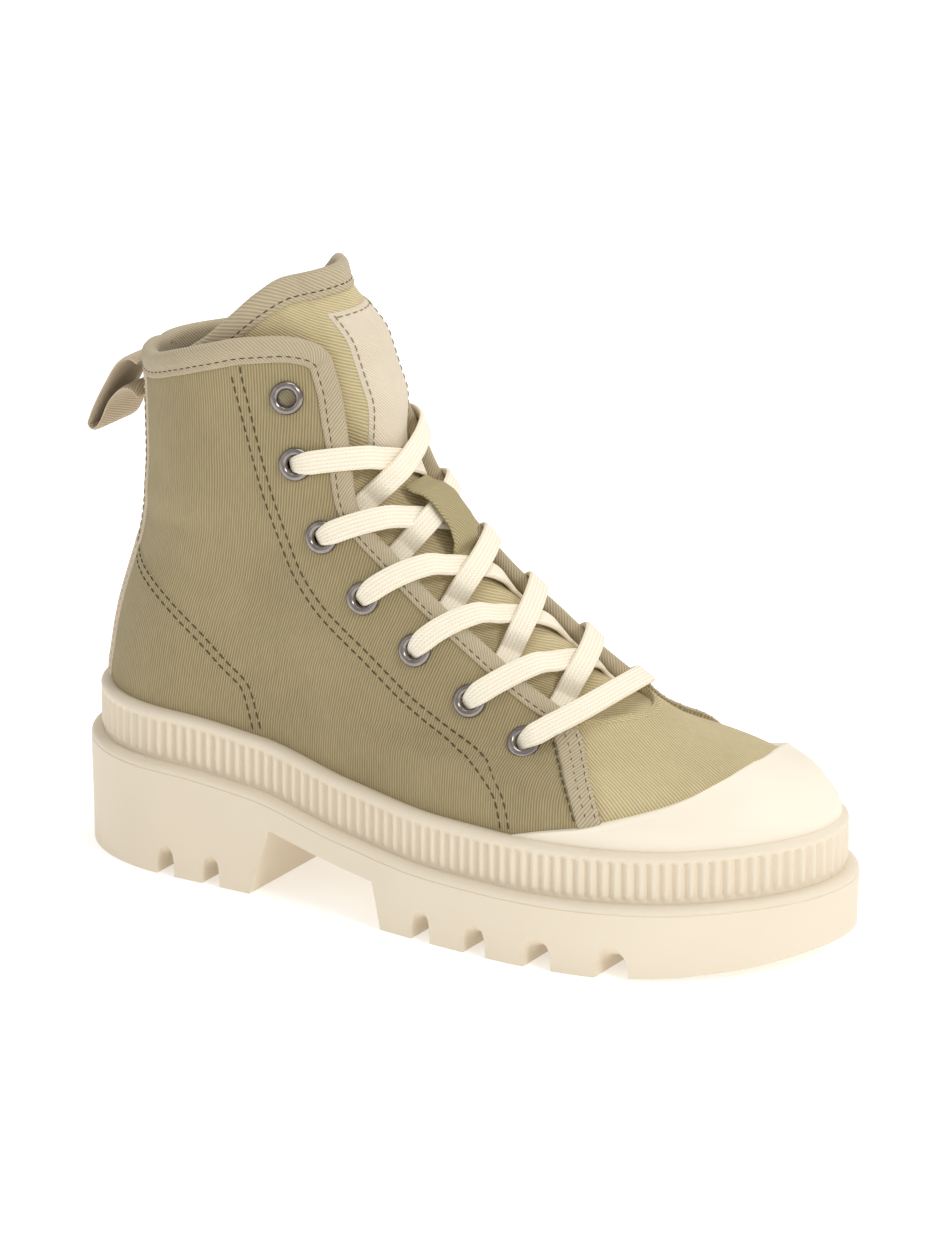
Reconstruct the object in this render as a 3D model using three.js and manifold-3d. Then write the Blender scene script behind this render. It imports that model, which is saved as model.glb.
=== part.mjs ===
// A lace-up canvas boot for the right foot: a hollow twill upper on a chunky lugged rubber sole,
// with a ribbed rubber band, a rubber toe cap, folded edge tape, seven pairs of eyelets and a flat lace.
// Millimetres. +X points to the toe, +Y to the inner side of the foot, +Z up, with the floor at 0.
import * as THREE from "three";
import { mergeVertices } from "three/addons/utils/BufferGeometryUtils.js";
import Module from "manifold-3d";

const wasm = await Module();
wasm.setup();

// Main sizes
const LAST_LENGTH = 258; // upper, back of heel to tip of toe
const BALL_WIDTH = 90; // upper across the ball
const BOOT_HEIGHT = 212; // floor to about the top of the tongue
const HEEL_LIFT = 38.5; // floor to the ledge at the heel
const BAND_HEIGHT = 17; // ledge to the top of the ribbed band
const WAIST_THICKNESS = 11; // sole under the arch
const TOE_SPRING = 9; // sole's tip above the floor

// Wall and layer thicknesses
const WALL = 2; // vamp, twill with its lining
const QUARTER_STEP = 1; // how far the quarter stands over the vamp
const TAPE = 1; // folded edge tape
const TONGUE = 2;
const TONGUE_SINK = WALL + TAPE + 3.6; // tongue's face under the vamp's face, with room for the lace between
const TONGUE_SWELL = 3.7; // how much nearer it comes along the middle of the throat
const CAP_THICKNESS = 2;
const INSOLE = 4;
const CLEARANCE = 0.3; // between two pieces that meet

// Sole
const BAND_THICKNESS = 4;
const LEDGE = 4.5; // how far the outsole stands out past the band
const LEDGE_BEVEL = 1.6;
const RIBS = 156;
const RIB_DEPTH = 1.1;
const LIP = 4.5; // plain rim over the ribs

// Lace, eyelets and trim
const LACE_WIDTH = 8;
const LACE_THICKNESS = 1.5;
const EYELET_HOLE = 2.8;
const EYELET_BARREL = 3.3;
const EYELET_FLANGE = 5.1;
const EYELET_SIDES = 8;
const TAPE_WIDTH = 8;
const STRAP_WIDTH = 8;
const STAY_WIDTH = 32;
const LOOP_WIDTH = 26;
const KEEPER_WIDTH = 14;
const PATCH_WIDTH = 24;

// How fine the faceted solids are
const COLUMNS = 24;
const RING_STEP = 26;
const EDGE_COLUMNS = 16; // stations along each side of the collar and throat edge

// The upper's plan at the foot, from heel to toe: half widths each side of a line that swings in at the toe.
// along is a share of LAST_LENGTH from the middle, the rest are shares of BALL_WIDTH.
const footPlan = [
  { along: -0.52, lateral: 0.36, medial: 0.36, centre: 0 },
  { along: -0.39, lateral: 0.365, medial: 0.36, centre: 0 },
  { along: -0.23, lateral: 0.37, medial: 0.33, centre: 0 },
  { along: -0.08, lateral: 0.4, medial: 0.31, centre: -0.01 },
  { along: 0.08, lateral: 0.46, medial: 0.4, centre: 0 },
  { along: 0.2, lateral: 0.49, medial: 0.47, centre: 0.02 },
  { along: 0.31, lateral: 0.475, medial: 0.46, centre: 0.05 },
  { along: 0.42, lateral: 0.44, medial: 0.42, centre: 0.08 },
  { along: 0.51, lateral: 0.42, medial: 0.4, centre: 0.1 },
];

// The upper's level sections, from the sole up. height is a share of BOOT_HEIGHT; back, front and the lengths
// over which each end rounds off are shares of LAST_LENGTH; foot is how far it follows the foot's plan.
const levels = [
  { height: 0.077, back: -0.505, front: 0.488, backRound: 0.16, frontRound: 0.24, foot: 1 },
  { height: 0.177, back: -0.514, front: 0.493, backRound: 0.16, frontRound: 0.24, foot: 1 },
  { height: 0.222, back: -0.517, front: 0.491, backRound: 0.16, frontRound: 0.25, foot: 1 },
  { height: 0.246, back: -0.517, front: 0.479, backRound: 0.16, frontRound: 0.28, foot: 0.97 },
  { height: 0.268, back: -0.517, front: 0.464, backRound: 0.16, frontRound: 0.34, foot: 0.93 },
  { height: 0.284, back: -0.516, front: 0.434, backRound: 0.16, frontRound: 0.42, foot: 0.88 },
  { height: 0.296, back: -0.514, front: 0.392, backRound: 0.16, frontRound: 0.5, foot: 0.84 },
  { height: 0.31, back: -0.512, front: 0.335, backRound: 0.16, frontRound: 0.5, foot: 0.8 },
  { height: 0.337, back: -0.508, front: 0.272, backRound: 0.16, frontRound: 0.44, foot: 0.7 },
  { height: 0.38, back: -0.5, front: 0.208, backRound: 0.16, frontRound: 0.36, foot: 0.55 },
  { height: 0.437, back: -0.485, front: 0.138, backRound: 0.16, frontRound: 0.29, foot: 0.35 },
  { height: 0.497, back: -0.469, front: 0.06, backRound: 0.16, frontRound: 0.235, foot: 0.15 },
  { height: 0.567, back: -0.459, front: -0.012, backRound: 0.16, frontRound: 0.2, foot: 0 },
  { height: 0.647, back: -0.455, front: -0.07, backRound: 0.16, frontRound: 0.18, foot: 0 },
  { height: 0.747, back: -0.457, front: -0.115, backRound: 0.165, frontRound: 0.17, foot: 0 },
  { height: 0.857, back: -0.462, front: -0.152, backRound: 0.165, frontRound: 0.165, foot: 0 },
  { height: 1.047, back: -0.478, front: -0.205, backRound: 0.15, frontRound: 0.14, foot: 0 },
];

// The shaft's half widths, used as far as a section doesn't follow the foot's plan. height is a share of
// BOOT_HEIGHT, the others are shares of BALL_WIDTH.
const shaft = [
  { height: 0.077, lateral: 0.37, medial: 0.37 },
  { height: 0.567, lateral: 0.37, medial: 0.37 },
  { height: 0.647, lateral: 0.37, medial: 0.365 },
  { height: 0.747, lateral: 0.37, medial: 0.365 },
  { height: 0.857, lateral: 0.375, medial: 0.37 },
  { height: 1.047, lateral: 0.385, medial: 0.38 },
];
const FRONT_POWER = 2.2; // 2 rounds an end like an ellipse, more makes it blunter
const BACK_POWER = 2.1;

// The collar and throat edge seen from the side, from the back of the collar to the throat's lower corner.
// along is a share of LAST_LENGTH, height of BOOT_HEIGHT.
const topEdge = [
  { along: -0.53, height: 0.794 },
  { along: -0.46, height: 0.798 },
  { along: -0.415, height: 0.81 },
  { along: -0.36, height: 0.833 },
  { along: -0.31, height: 0.854 },
  { along: -0.255, height: 0.872 },
  { along: -0.215, height: 0.876 },
  { along: -0.186, height: 0.867 },
  { along: -0.168, height: 0.842 },
  { along: -0.157, height: 0.805 },
  { along: -0.143, height: 0.75 },
  { along: -0.127, height: 0.695 },
  { along: -0.1, height: 0.625 },
  { along: -0.05, height: 0.569 },
  { along: 0.02, height: 0.499 },
  { along: 0.093, height: 0.437 },
  { along: 0.165, height: 0.373 },
  { along: 0.195, height: 0.35 },
];

// The quarter's front edge from the throat's corner down to the sole, in the same shares.
const quarterFront = [
  { along: 0.195, height: 0.35 },
  { along: 0.238, height: 0.302 },
  { along: 0.27, height: 0.237 },
  { along: 0.295, height: 0.147 },
  { along: 0.31, height: 0.057 },
];

// The toe cap's upper edge from its tail on the band to the crown of the toe.
const capEdge = [
  { along: 0.1, height: 0.157 },
  { along: 0.15, height: 0.182 },
  { along: 0.2, height: 0.199 },
  { along: 0.26, height: 0.224 },
  { along: 0.32, height: 0.262 },
  { along: 0.36, height: 0.299 },
  { along: 0.385, height: 0.337 },
  { along: 0.395, height: 0.387 },
];

// The tongue's side edge inside the boot, from its top corner down to the vamp, and its upper edge.
const tongueSide = [
  { along: -0.3, height: 0.817 },
  { along: -0.25, height: 0.707 },
  { along: -0.185, height: 0.587 },
  { along: -0.1, height: 0.487 },
  { along: 0, height: 0.407 },
  { along: 0.1, height: 0.342 },
  { along: 0.19, height: 0.307 },
];
const tongueTop = [
  { along: -0.335, height: 0.875 },
  { along: -0.29, height: 0.904 },
  { along: -0.245, height: 0.934 },
  { along: -0.21, height: 0.956 },
  { along: -0.165, height: 0.97 },
];

// Eyelets on one side, from the collar down, in the same shares.
const eyeletPlaces = [
  { along: -0.202, height: 0.79 },
  { along: -0.184, height: 0.691 },
  { along: -0.142, height: 0.585 },
  { along: -0.08, height: 0.501 },
  { along: -0.005, height: 0.434 },
  { along: 0.073, height: 0.369 },
  { along: 0.15, height: 0.318 },
];
const FIRST_LACED = 1; // the top pair is left empty

// The sole's side line. along is a share of the sole's length from its middle, ledge a share of HEEL_LIFT.
const soleLine = [
  { along: -0.5, ledge: 1 },
  { along: -0.35, ledge: 1 },
  { along: -0.22, ledge: 0.935 },
  { along: -0.08, ledge: 0.745 },
  { along: 0.05, ledge: 0.64 },
  { along: 0.18, ledge: 0.63 },
  { along: 0.32, ledge: 0.65 },
  { along: 0.5, ledge: 0.76 },
];

// Where the sole touches the floor, as shares of its length from the middle.
const HEEL_BREAST = -0.218;
const BREAST_SLANT = 0.03;
const TREAD_START = -0.022;
const TREAD_SLANT = 0.012;
const SPRING_START = 0.27;

// Grooves between the lugs: place and width at the floor, as shares of the sole's length.
const grooves = [
  { along: -0.338, width: 0.031 },
  { along: -0.273, width: 0.031 },
  { along: 0.038, width: 0.033 },
  { along: 0.115, width: 0.038 },
  { along: 0.2, width: 0.043 },
  { along: 0.29, width: 0.047 },
];
const GROOVE_CEILING = 6.5;
const GROOVE_MOUTH = 11; // height of the groove where it breaks through the side
const GROOVE_FLARE = 6; // how far in from the side the mouth tapers down
const LUG_DEPTH = 26; // how far a side lug reaches in

// The patch on the tongue seen from the side, from its lower edge to its upper edge.
const patchSide = [
  { along: -0.2, height: 0.69 },
  { along: -0.26, height: 0.69 },
  { along: -0.36, height: 0.888 },
  { along: -0.19, height: 0.888 },
  { along: 0, height: 0.888 },
  { along: 0, height: 0.69 },
];
const PATCH_THICKNESS = 0.8;

const KEEPER_BOTTOM = 0.55; // heights of its sewn ends, shares of BOOT_HEIGHT
const KEEPER_TOP = 0.652;
const KEEPER_THICKNESS = 1.2;
const KEEPER_ARCH = 7;

// The pull loop from its sewn end to its lower tip and back up, out from the heel and down from LOOP_TOP.
const LOOP_TOP = 0.775;
const LOOP_THICKNESS = 1.2;
const loopShape = [
  { out: 0.9, down: 0 },
  { out: 4, down: -0.5 },
  { out: 8, down: 2 },
  { out: 12, down: 8 },
  { out: 16, down: 15 },
  { out: 18.5, down: 20.5 },
  { out: 18.8, down: 22.5 },
  { out: 17, down: 23.5 },
  { out: 14.5, down: 21 },
  { out: 11, down: 14 },
  { out: 6.5, down: 9.5 },
  { out: 3, down: 9 },
  { out: 0.9, down: 11 },
];

const LATERAL = -1;
const MEDIAL = 1;
const WIDE = 200; // half width of a cutting prism

// A smooth curve through two columns of a table, which never overshoots its rows.
function curve(rows, from, to, fromSize = 1, toSize = 1) {
  const xs = rows.map((row) => row[from] * fromSize);
  const ys = rows.map((row) => row[to] * toSize);
  const steps = xs.slice(1).map((x, i) => x - xs[i]);
  const slopes = steps.map((step, i) => (ys[i + 1] - ys[i]) / step);
  const tangents = xs.map((_, i) => {
    if (i === 0) return slopes[0];
    if (i === xs.length - 1) return slopes[i - 1];
    const before = slopes[i - 1];
    const after = slopes[i];
    if (before * after <= 0) return 0;
    const w1 = 2 * steps[i] + steps[i - 1];
    const w2 = steps[i] + 2 * steps[i - 1];
    return (w1 + w2) / (w1 / before + w2 / after);
  });
  return (x) => {
    if (x <= xs[0]) return ys[0];
    if (x >= xs[xs.length - 1]) return ys[ys.length - 1];
    let i = 0;
    while (x > xs[i + 1]) i += 1;
    const h = steps[i];
    const t = (x - xs[i]) / h;
    return (
      ys[i] * (1 + 2 * t) * (1 - t) ** 2 +
      tangents[i] * h * t * (1 - t) ** 2 +
      ys[i + 1] * t * t * (3 - 2 * t) +
      tangents[i + 1] * h * t * t * (t - 1)
    );
  };
}

const planOf = (column) => curve(footPlan, "along", column, LAST_LENGTH, BALL_WIDTH);
const levelOf = (column, size) => curve(levels, "height", column, BOOT_HEIGHT, size);
const centreLine = planOf("centre");
const footHalf = { [LATERAL]: planOf("lateral"), [MEDIAL]: planOf("medial") };
const shaftOf = (column) => curve(shaft, "height", column, BOOT_HEIGHT, BALL_WIDTH);
const shaftHalf = { [LATERAL]: shaftOf("lateral"), [MEDIAL]: shaftOf("medial") };
const backLine = levelOf("back", LAST_LENGTH);
const frontLine = levelOf("front", LAST_LENGTH);
const backRound = levelOf("backRound", LAST_LENGTH);
const frontRound = levelOf("frontRound", LAST_LENGTH);
const footShare = levelOf("foot", 1);

// Square of the upper's half width at a point of its side view. It falls to 0 on the ridge and the back line.
function widthSquared(x, z, side) {
  const foot = footShare(z);
  const body = foot * footHalf[side](x) + (1 - foot) * shaftHalf[side](z);
  const fromFront = Math.min((frontLine(z) - x) / frontRound(z), 1);
  const fromBack = Math.min((x - backLine(z)) / backRound(z), 1);
  return body * body * (1 - (1 - fromFront) ** FRONT_POWER) * (1 - (1 - fromBack) ** BACK_POWER);
}

function halfWidth(x, z, side) {
  return Math.sqrt(Math.max(widthSquared(x, z, side), 0));
}

// Outward direction of the upper's face at a point on it.
function outward(point, side) {
  const step = 0.2;
  const depth = (x, y, z) => (y - centreLine(x)) ** 2 - widthSquared(x, z, side);
  const { x, y, z } = point;
  return new THREE.Vector3(
    depth(x + step, y, z) - depth(x - step, y, z),
    depth(x, y + step, z) - depth(x, y - step, z),
    depth(x, y, z + step) - depth(x, y, z - step),
  ).normalize();
}

// A point of the upper's face: turn goes round the section from the back by the outer side, 0 to 1.
function facePoint(turn, z, offset) {
  const angle = 2 * Math.PI * turn;
  const side = Math.sin(angle) >= 0 ? LATERAL : MEDIAL;
  const x = THREE.MathUtils.lerp(backLine(z), frontLine(z), (1 - Math.cos(angle)) / 2);
  const point = new THREE.Vector3(x, centreLine(x) + side * halfWidth(x, z, side), z);
  return point.addScaledVector(outward(point, side), offset);
}

// A point of the upper's face from its place in the side view.
function sidePoint(x, z, side, offset) {
  const point = new THREE.Vector3(x, centreLine(x) + side * halfWidth(x, z, side), z);
  return point.addScaledVector(outward(point, side), offset);
}

// Solids

function solidFrom(geometry) {
  const bare = geometry.clone();
  for (const name of ["normal", "uv"]) bare.deleteAttribute(name);
  const merged = mergeVertices(bare, 1e-4);
  return new wasm.Manifold(
    new wasm.Mesh({
      numProp: 3,
      vertProperties: new Float32Array(merged.attributes.position.array),
      triVerts: new Uint32Array(merged.index.array),
    }),
  );
}

function geometryFrom(points, faces) {
  const geometry = new THREE.BufferGeometry().setFromPoints(points);
  geometry.setIndex(faces.flat());
  return geometry;
}

// Triangles between two closed rings of vertex numbers, where the second has a whole number of times as many.
function stitch(coarse, fine) {
  const ratio = fine.length / coarse.length;
  const faces = [];
  coarse.forEach((vertex, i) => {
    const next = coarse[(i + 1) % coarse.length];
    for (let k = 0; k < ratio; k += 1) {
      const a = fine[i * ratio + k];
      const b = fine[(i * ratio + k + 1) % fine.length];
      faces.push([k < ratio / 2 ? vertex : next, b, a]);
      if (k === Math.floor((ratio - 1) / 2)) faces.push([vertex, next, k < ratio / 2 ? b : a]);
    }
  });
  return faces;
}

// Triangles between two rings of vertex numbers, whichever is the finer.
function between(lower, upper) {
  if (upper.length >= lower.length) return stitch(lower, upper);
  return stitch(upper, lower).map(([a, b, c]) => [a, c, b]);
}

// A closed solid skinned over a stack of rings, capped at both ends.
function skin(rings) {
  const points = [];
  const faces = [];
  const numbered = rings.map((ring) => ring.map((point) => points.push(point) - 1));
  numbered.slice(1).forEach((ring, i) => faces.push(...between(numbered[i], ring)));
  const cap = (ring, turned) => {
    const middle = new THREE.Vector3();
    ring.forEach((vertex) => middle.addScaledVector(points[vertex], 1 / ring.length));
    const centre = points.push(middle) - 1;
    ring.forEach((vertex, i) => {
      const next = ring[(i + 1) % ring.length];
      faces.push(turned ? [centre, next, vertex] : [centre, vertex, next]);
    });
  };
  cap(numbered[0], true);
  cap(numbered[numbered.length - 1], false);
  return solidFrom(geometryFrom(points, faces));
}

// A ring-shaped solid skinned over rings that run round its section.
function hoop(rings) {
  const points = [];
  const numbered = rings.map((ring) => ring.map((point) => points.push(point) - 1));
  const faces = numbered.flatMap((ring, i) => between(ring, numbered[(i + 1) % numbered.length]));
  return solidFrom(geometryFrom(points, faces));
}

// Heights of the section rings, closer where the ridge runs nearly level.
function ringHeights(low, high) {
  const table = levels.map((row) => row.height * BOOT_HEIGHT);
  const inside = table.filter((z) => z > low + 1 && z < high - 1);
  const stops = [low, ...inside, high];
  return stops.slice(1).reduce(
    (heights, z, i) => {
      const run = Math.hypot(z - stops[i], frontLine(z) - frontLine(stops[i]));
      const steps = Math.ceil(run / RING_STEP);
      for (let k = 1; k <= steps; k += 1) heights.push(stops[i] + ((z - stops[i]) * k) / steps);
      return heights;
    },
    [low],
  );
}

const FORM_FOOT = 0.09 * BOOT_HEIGHT;
const FORM_HEAD = 1.05 * BOOT_HEIGHT;
const FORM_MARGIN = 4;
const SWELL_REACH = 0.08; // how far round from the ridge the tongue is fuller, in turns

// The last grown by an offset. A form that hollows another reaches past it at both ends, and swell adds to the
// offset along the ridge.
function form(offset, margin = 0, swell = 0) {
  const heights = ringHeights(FORM_FOOT - margin, FORM_HEAD + margin);
  const turns = Array.from({ length: COLUMNS }, (_, k) => k / COLUMNS);
  const fuller = (turn) => swell * Math.max(0, 1 - Math.abs(turn - 0.5) / SWELL_REACH) ** 0.7;
  return skin(heights.map((z) => turns.map((turn) => facePoint(turn, z, offset + fuller(turn)))));
}

// The layer of material between two offsets of the upper's face.
function layer(inner, outer) {
  return form(outer).subtract(form(inner, FORM_MARGIN));
}

// A prism across the boot over an outline drawn in the side view.
function prism(outline, from = -WIDE, to = WIDE) {
  const ring = THREE.ShapeUtils.isClockWise(outline) ? [...outline].reverse() : outline;
  const count = ring.length;
  const points = [from, to].flatMap((y) => ring.map((point) => new THREE.Vector3(point.x, y, point.y)));
  const near = THREE.ShapeUtils.triangulateShape(ring, []);
  const far = near.map(([a, b, c]) => [count + a, count + c, count + b]);
  const sides = ring.flatMap((_, i) => {
    const next = (i + 1) % count;
    return [[i, count + i, next], [next, count + i, count + next]];
  });
  return solidFrom(geometryFrom(points, [...near, ...far, ...sides]));
}

const at = (x, y) => new THREE.Vector2(x, y);
const placed = (rows) => rows.map((row) => at(row.along * LAST_LENGTH, row.height * BOOT_HEIGHT));

// A line of the side view moved sideways, to its left for a positive distance.
function shifted(line, distance) {
  return line.map((point, i) => {
    const before = line[Math.max(i - 1, 0)];
    const after = line[Math.min(i + 1, line.length - 1)];
    const run = after.clone().sub(before).normalize();
    return at(point.x - run.y * distance, point.y + run.x * distance);
  });
}

const TOP = 2 * BOOT_HEIGHT;
const FAR = LAST_LENGTH;
const edgeLine = placed(topEdge);
const frontEdge = placed(quarterFront);
const capLine = placed(capEdge);
const throatCorner = edgeLine[edgeLine.length - 1];
const THROAT_BOTTOM = 0.345; // height of the throat's foot on the centre line, share of BOOT_HEIGHT
const OPENING_REACH = 9; // how far the opening's cutter reaches each side of the face

// Stations along the lateral half of the collar and throat edge, as turns round the sections and heights.
function edgeStations() {
  const rows = topEdge.slice(1).map((row) => {
    const z = row.height * BOOT_HEIGHT;
    const share = (row.along * LAST_LENGTH - backLine(z)) / (frontLine(z) - backLine(z));
    return { turn: Math.acos(1 - 2 * Math.min(Math.max(share, 0), 1)) / (2 * Math.PI), z };
  });
  const back = { turn: 0, z: topEdge[0].height * BOOT_HEIGHT };
  const foot = { turn: 0.5, z: THROAT_BOTTOM * BOOT_HEIGHT };
  const line = [back, ...rows, foot];
  const places = line.map(({ turn, z }) => facePoint(turn, z, 0));
  let reach = 0;
  line.forEach((station, i) => {
    if (i > 0) reach += places[i].distanceTo(places[i - 1]);
    station.reach = reach;
  });
  const turnAt = curve(line, "reach", "turn");
  const heightAt = curve(line, "reach", "z");
  return Array.from({ length: EDGE_COLUMNS + 1 }, (_, i) => {
    const along = (reach * i) / EDGE_COLUMNS;
    return { turn: turnAt(along), z: heightAt(along) };
  });
}

// Moves a point back onto the upper's face.
function settle(point) {
  for (let pass = 0; pass < 4; pass += 1) {
    const side = point.y < centreLine(point.x) ? LATERAL : MEDIAL;
    const step = 0.2;
    const depth = (x, y, z) => (y - centreLine(x)) ** 2 - widthSquared(x, z, side);
    const { x, y, z } = point;
    const slope = new THREE.Vector3(
      depth(x + step, y, z) - depth(x - step, y, z),
      depth(x, y + step, z) - depth(x, y - step, z),
      depth(x, y, z + step) - depth(x, y, z - step),
    ).divideScalar(2 * step);
    point.addScaledVector(slope, -depth(x, y, z) / slope.lengthSq());
  }
  return point;
}

// The edge all the way round, moved down the face by a distance: points and outward directions.
function edgeLoop(distance) {
  const half = edgeStations();
  const back = half.slice(1, -1).reverse().map(({ turn, z }) => ({ turn: 1 - turn, z }));
  const points = [...half, ...back].map(({ turn, z }) => facePoint(turn, z, 0));
  return points.map((point, i) => {
    const side = point.y < centreLine(point.x) ? LATERAL : MEDIAL;
    const before = points[(i + points.length - 1) % points.length];
    const after = points[(i + 1) % points.length];
    const run = after.clone().sub(before).normalize();
    const down = run.cross(outward(point, side)).normalize();
    const moved = settle(point.clone().addScaledVector(down, distance));
    return { point: moved, normal: outward(moved, moved.y < centreLine(moved.x) ? LATERAL : MEDIAL) };
  });
}

// The space over the collar and in the throat, with its edge moved down the face by a distance. Its sides stand
// square to the face, so an edge cut with it is as thick as the wall.
function openSpace(distance) {
  const loop = edgeLoop(distance);
  const ring = (offset) => loop.map(({ point, normal }) => point.clone().addScaledVector(normal, offset));
  const roof = ring(OPENING_REACH).map((point) => point.setZ(TOP));
  return skin([ring(-OPENING_REACH), ring(OPENING_REACH), roof]);
}

// A strip along a line of the side view, from one distance to another to its left.
function strip(line, near, far) {
  return prism([...shifted(line, near), ...shifted(line, far).reverse()]);
}

// Everything under a line of the side view.
function under(line) {
  const first = line[0];
  const last = line[line.length - 1];
  return prism([at(-FAR, first.y), ...line, at(FAR, last.y), at(FAR, -TOP), at(-FAR, -TOP)]);
}

// Sole lines and outlines

const SOLE_LENGTH = LAST_LENGTH + 2 * (BAND_THICKNESS + LEDGE);
const deckLine = curve(soleLine, "along", "ledge", SOLE_LENGTH, HEEL_LIFT);
const bandTop = (x) => deckLine(x) + BAND_HEIGHT;
const OUTLINE_LEVEL = 0.225 * BOOT_HEIGHT;
const OUTLINE_SAMPLES = 720;

// Points equally spaced round the foot's outline, moved outwards by an offset in plan.
function outlinePoints(offset, count) {
  const turns = Array.from({ length: OUTLINE_SAMPLES }, (_, i) => i / OUTLINE_SAMPLES);
  const ring = turns.map((turn) => facePoint(turn, OUTLINE_LEVEL, 0));
  const lengths = [0];
  ring.forEach((point, i) => lengths.push(lengths[i] + point.distanceTo(ring[(i + 1) % ring.length])));
  const total = lengths[lengths.length - 1];
  let i = 0;
  return Array.from({ length: count }, (_, k) => {
    const reach = (total * k) / count;
    while (lengths[i + 1] < reach) i += 1;
    const here = ring[i];
    const next = ring[(i + 1) % ring.length];
    const share = (reach - lengths[i]) / (lengths[i + 1] - lengths[i]);
    const run = next.clone().sub(here).setZ(0).normalize();
    const point = here.clone().lerp(next, share);
    return new THREE.Vector3(point.x + run.y * offset, point.y - run.x * offset, 0);
  });
}

function soleRing(offset, height, count) {
  return outlinePoints(offset, count).map((point) => point.setZ(height(point.x)));
}

const DECK_STEPS = 28;

// The deck's line with its ends, raised by lift.
function deckProfile(lift) {
  return Array.from({ length: DECK_STEPS + 1 }, (_, i) => {
    const x = (i / DECK_STEPS - 0.5) * (SOLE_LENGTH + 20);
    return at(x, deckLine(x) + lift);
  });
}

function belowDeck(lift) {
  const corners = [at(-FAR, -TOP), at(FAR, -TOP), at(FAR, deckLine(FAR) + lift)];
  return prism([...corners, ...deckProfile(lift).reverse()]);
}

function belowBand(lift) {
  return belowDeck(BAND_HEIGHT + lift);
}

// A groove between two lugs, cut in from one side: a low channel with a flared mouth.
function groove({ along, width }, side) {
  const x = along * SOLE_LENGTH;
  const half = (width * SOLE_LENGTH) / 2;
  const wall = centreLine(x) + side * (halfWidth(x, OUTLINE_LEVEL, side) + BAND_THICKNESS + LEDGE);
  const section = (y, top) => {
    const crown = half * 0.55;
    return [
      new THREE.Vector3(x - half - 1, y, -6),
      new THREE.Vector3(x + half + 1, y, -6),
      new THREE.Vector3(x + half * 0.8, y, top * 0.4),
      new THREE.Vector3(x + crown * 0.75, y, top - 1),
      new THREE.Vector3(x, y, top),
      new THREE.Vector3(x - crown * 0.75, y, top - 1),
      new THREE.Vector3(x - half * 0.8, y, top * 0.4),
    ];
  };
  const rings = [
    section(wall - side * LUG_DEPTH, GROOVE_CEILING),
    section(wall - side * GROOVE_FLARE, GROOVE_CEILING),
    section(wall, GROOVE_MOUTH),
    section(wall + side * 12, GROOVE_MOUTH),
  ];
  return skin(side === MEDIAL ? rings.reverse() : rings);
}

function outsole() {
  const columns = 50;
  const edge = BAND_THICKNESS + LEDGE;
  const body = skin([
    soleRing(edge - 0.5, () => -5, columns),
    soleRing(edge, (x) => deckLine(x) - LEDGE_BEVEL - 1, columns),
    soleRing(edge - 0.3, (x) => deckLine(x) - LEDGE_BEVEL / 2, columns),
    soleRing(edge - LEDGE_BEVEL, (x) => deckLine(x) + 1.5, columns),
  ]);
  const length = SOLE_LENGTH;
  const waist = (share) => at(share * length, deckLine(share * length) - WAIST_THICKNESS);
  const ground = prism([
    at(-FAR, -20),
    at(-FAR, 0),
    at(HEEL_BREAST * length, 0),
    waist(HEEL_BREAST + BREAST_SLANT),
    waist(-0.12),
    waist(-0.07),
    waist(TREAD_START - TREAD_SLANT),
    at(TREAD_START * length, 0),
    at(SPRING_START * length, 0),
    at(0.36 * length, TOE_SPRING * 0.16),
    at(0.43 * length, TOE_SPRING * 0.48),
    at(0.5 * length, TOE_SPRING),
    at(FAR, TOE_SPRING * 2),
    at(FAR, -20),
  ]);
  const cuts = grooves.flatMap((row) => [groove(row, LATERAL), groove(row, MEDIAL)]);
  return cuts.reduce((sole, cut) => sole.subtract(cut), body.intersect(belowDeck(0)).subtract(ground));
}

function ribbedBand() {
  const fine = 2 * RIBS;
  const coarse = fine / 8;
  const rib = BAND_THICKNESS + RIB_DEPTH;
  const ribs = (height) => {
    const valleys = soleRing(BAND_THICKNESS, height, fine);
    const crests = soleRing(rib, height, fine);
    return valleys.map((point, i) => (i % 2 ? crests[i] : point));
  };
  const inside = -WALL - 1;
  const band = hoop([
    soleRing(inside, (x) => deckLine(x) - 1, coarse),
    soleRing(BAND_THICKNESS, (x) => deckLine(x) - 1, coarse),
    soleRing(BAND_THICKNESS, (x) => deckLine(x) + 1.5, coarse),
    ribs((x) => deckLine(x) + 3),
    ribs((x) => bandTop(x) - LIP),
    soleRing(rib - 0.1, (x) => bandTop(x) - LIP + 1, coarse),
    soleRing(rib, (x) => bandTop(x) - 1.5, coarse),
    soleRing(BAND_THICKNESS - 1.2, (x) => bandTop(x), coarse),
    soleRing(inside, (x) => bandTop(x), coarse),
  ]);
  const quarters = form(QUARTER_FACE + CLEARANCE).intersect(behindQuarterFront(CLEARANCE));
  return band.subtract(belowDeck(CLEARANCE)).subtract(form(CLEARANCE)).subtract(quarters);
}

// Upper and what is sewn to it

const QUARTER_FACE = QUARTER_STEP;
const TAPE_FACE = QUARTER_FACE + CLEARANCE + TAPE;
const TAPE_BACK = -WALL - CLEARANCE - TAPE;

// Everything in front of and under the toe cap's edge, with that edge moved back by grow.
function capSpace(grow) {
  const edge = shifted(capLine, grow);
  return prism([...edge, at(edge[edge.length - 1].x, TOP), at(FAR, TOP), at(FAR, -TOP), at(edge[0].x, -TOP)]);
}

function behindQuarterFront(grow) {
  const edge = shifted(frontEdge, -grow);
  const low = edge[edge.length - 1];
  return prism([at(edge[0].x, TOP), ...edge, at(low.x, -TOP), at(-FAR, -TOP), at(-FAR, TOP)]);
}

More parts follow.
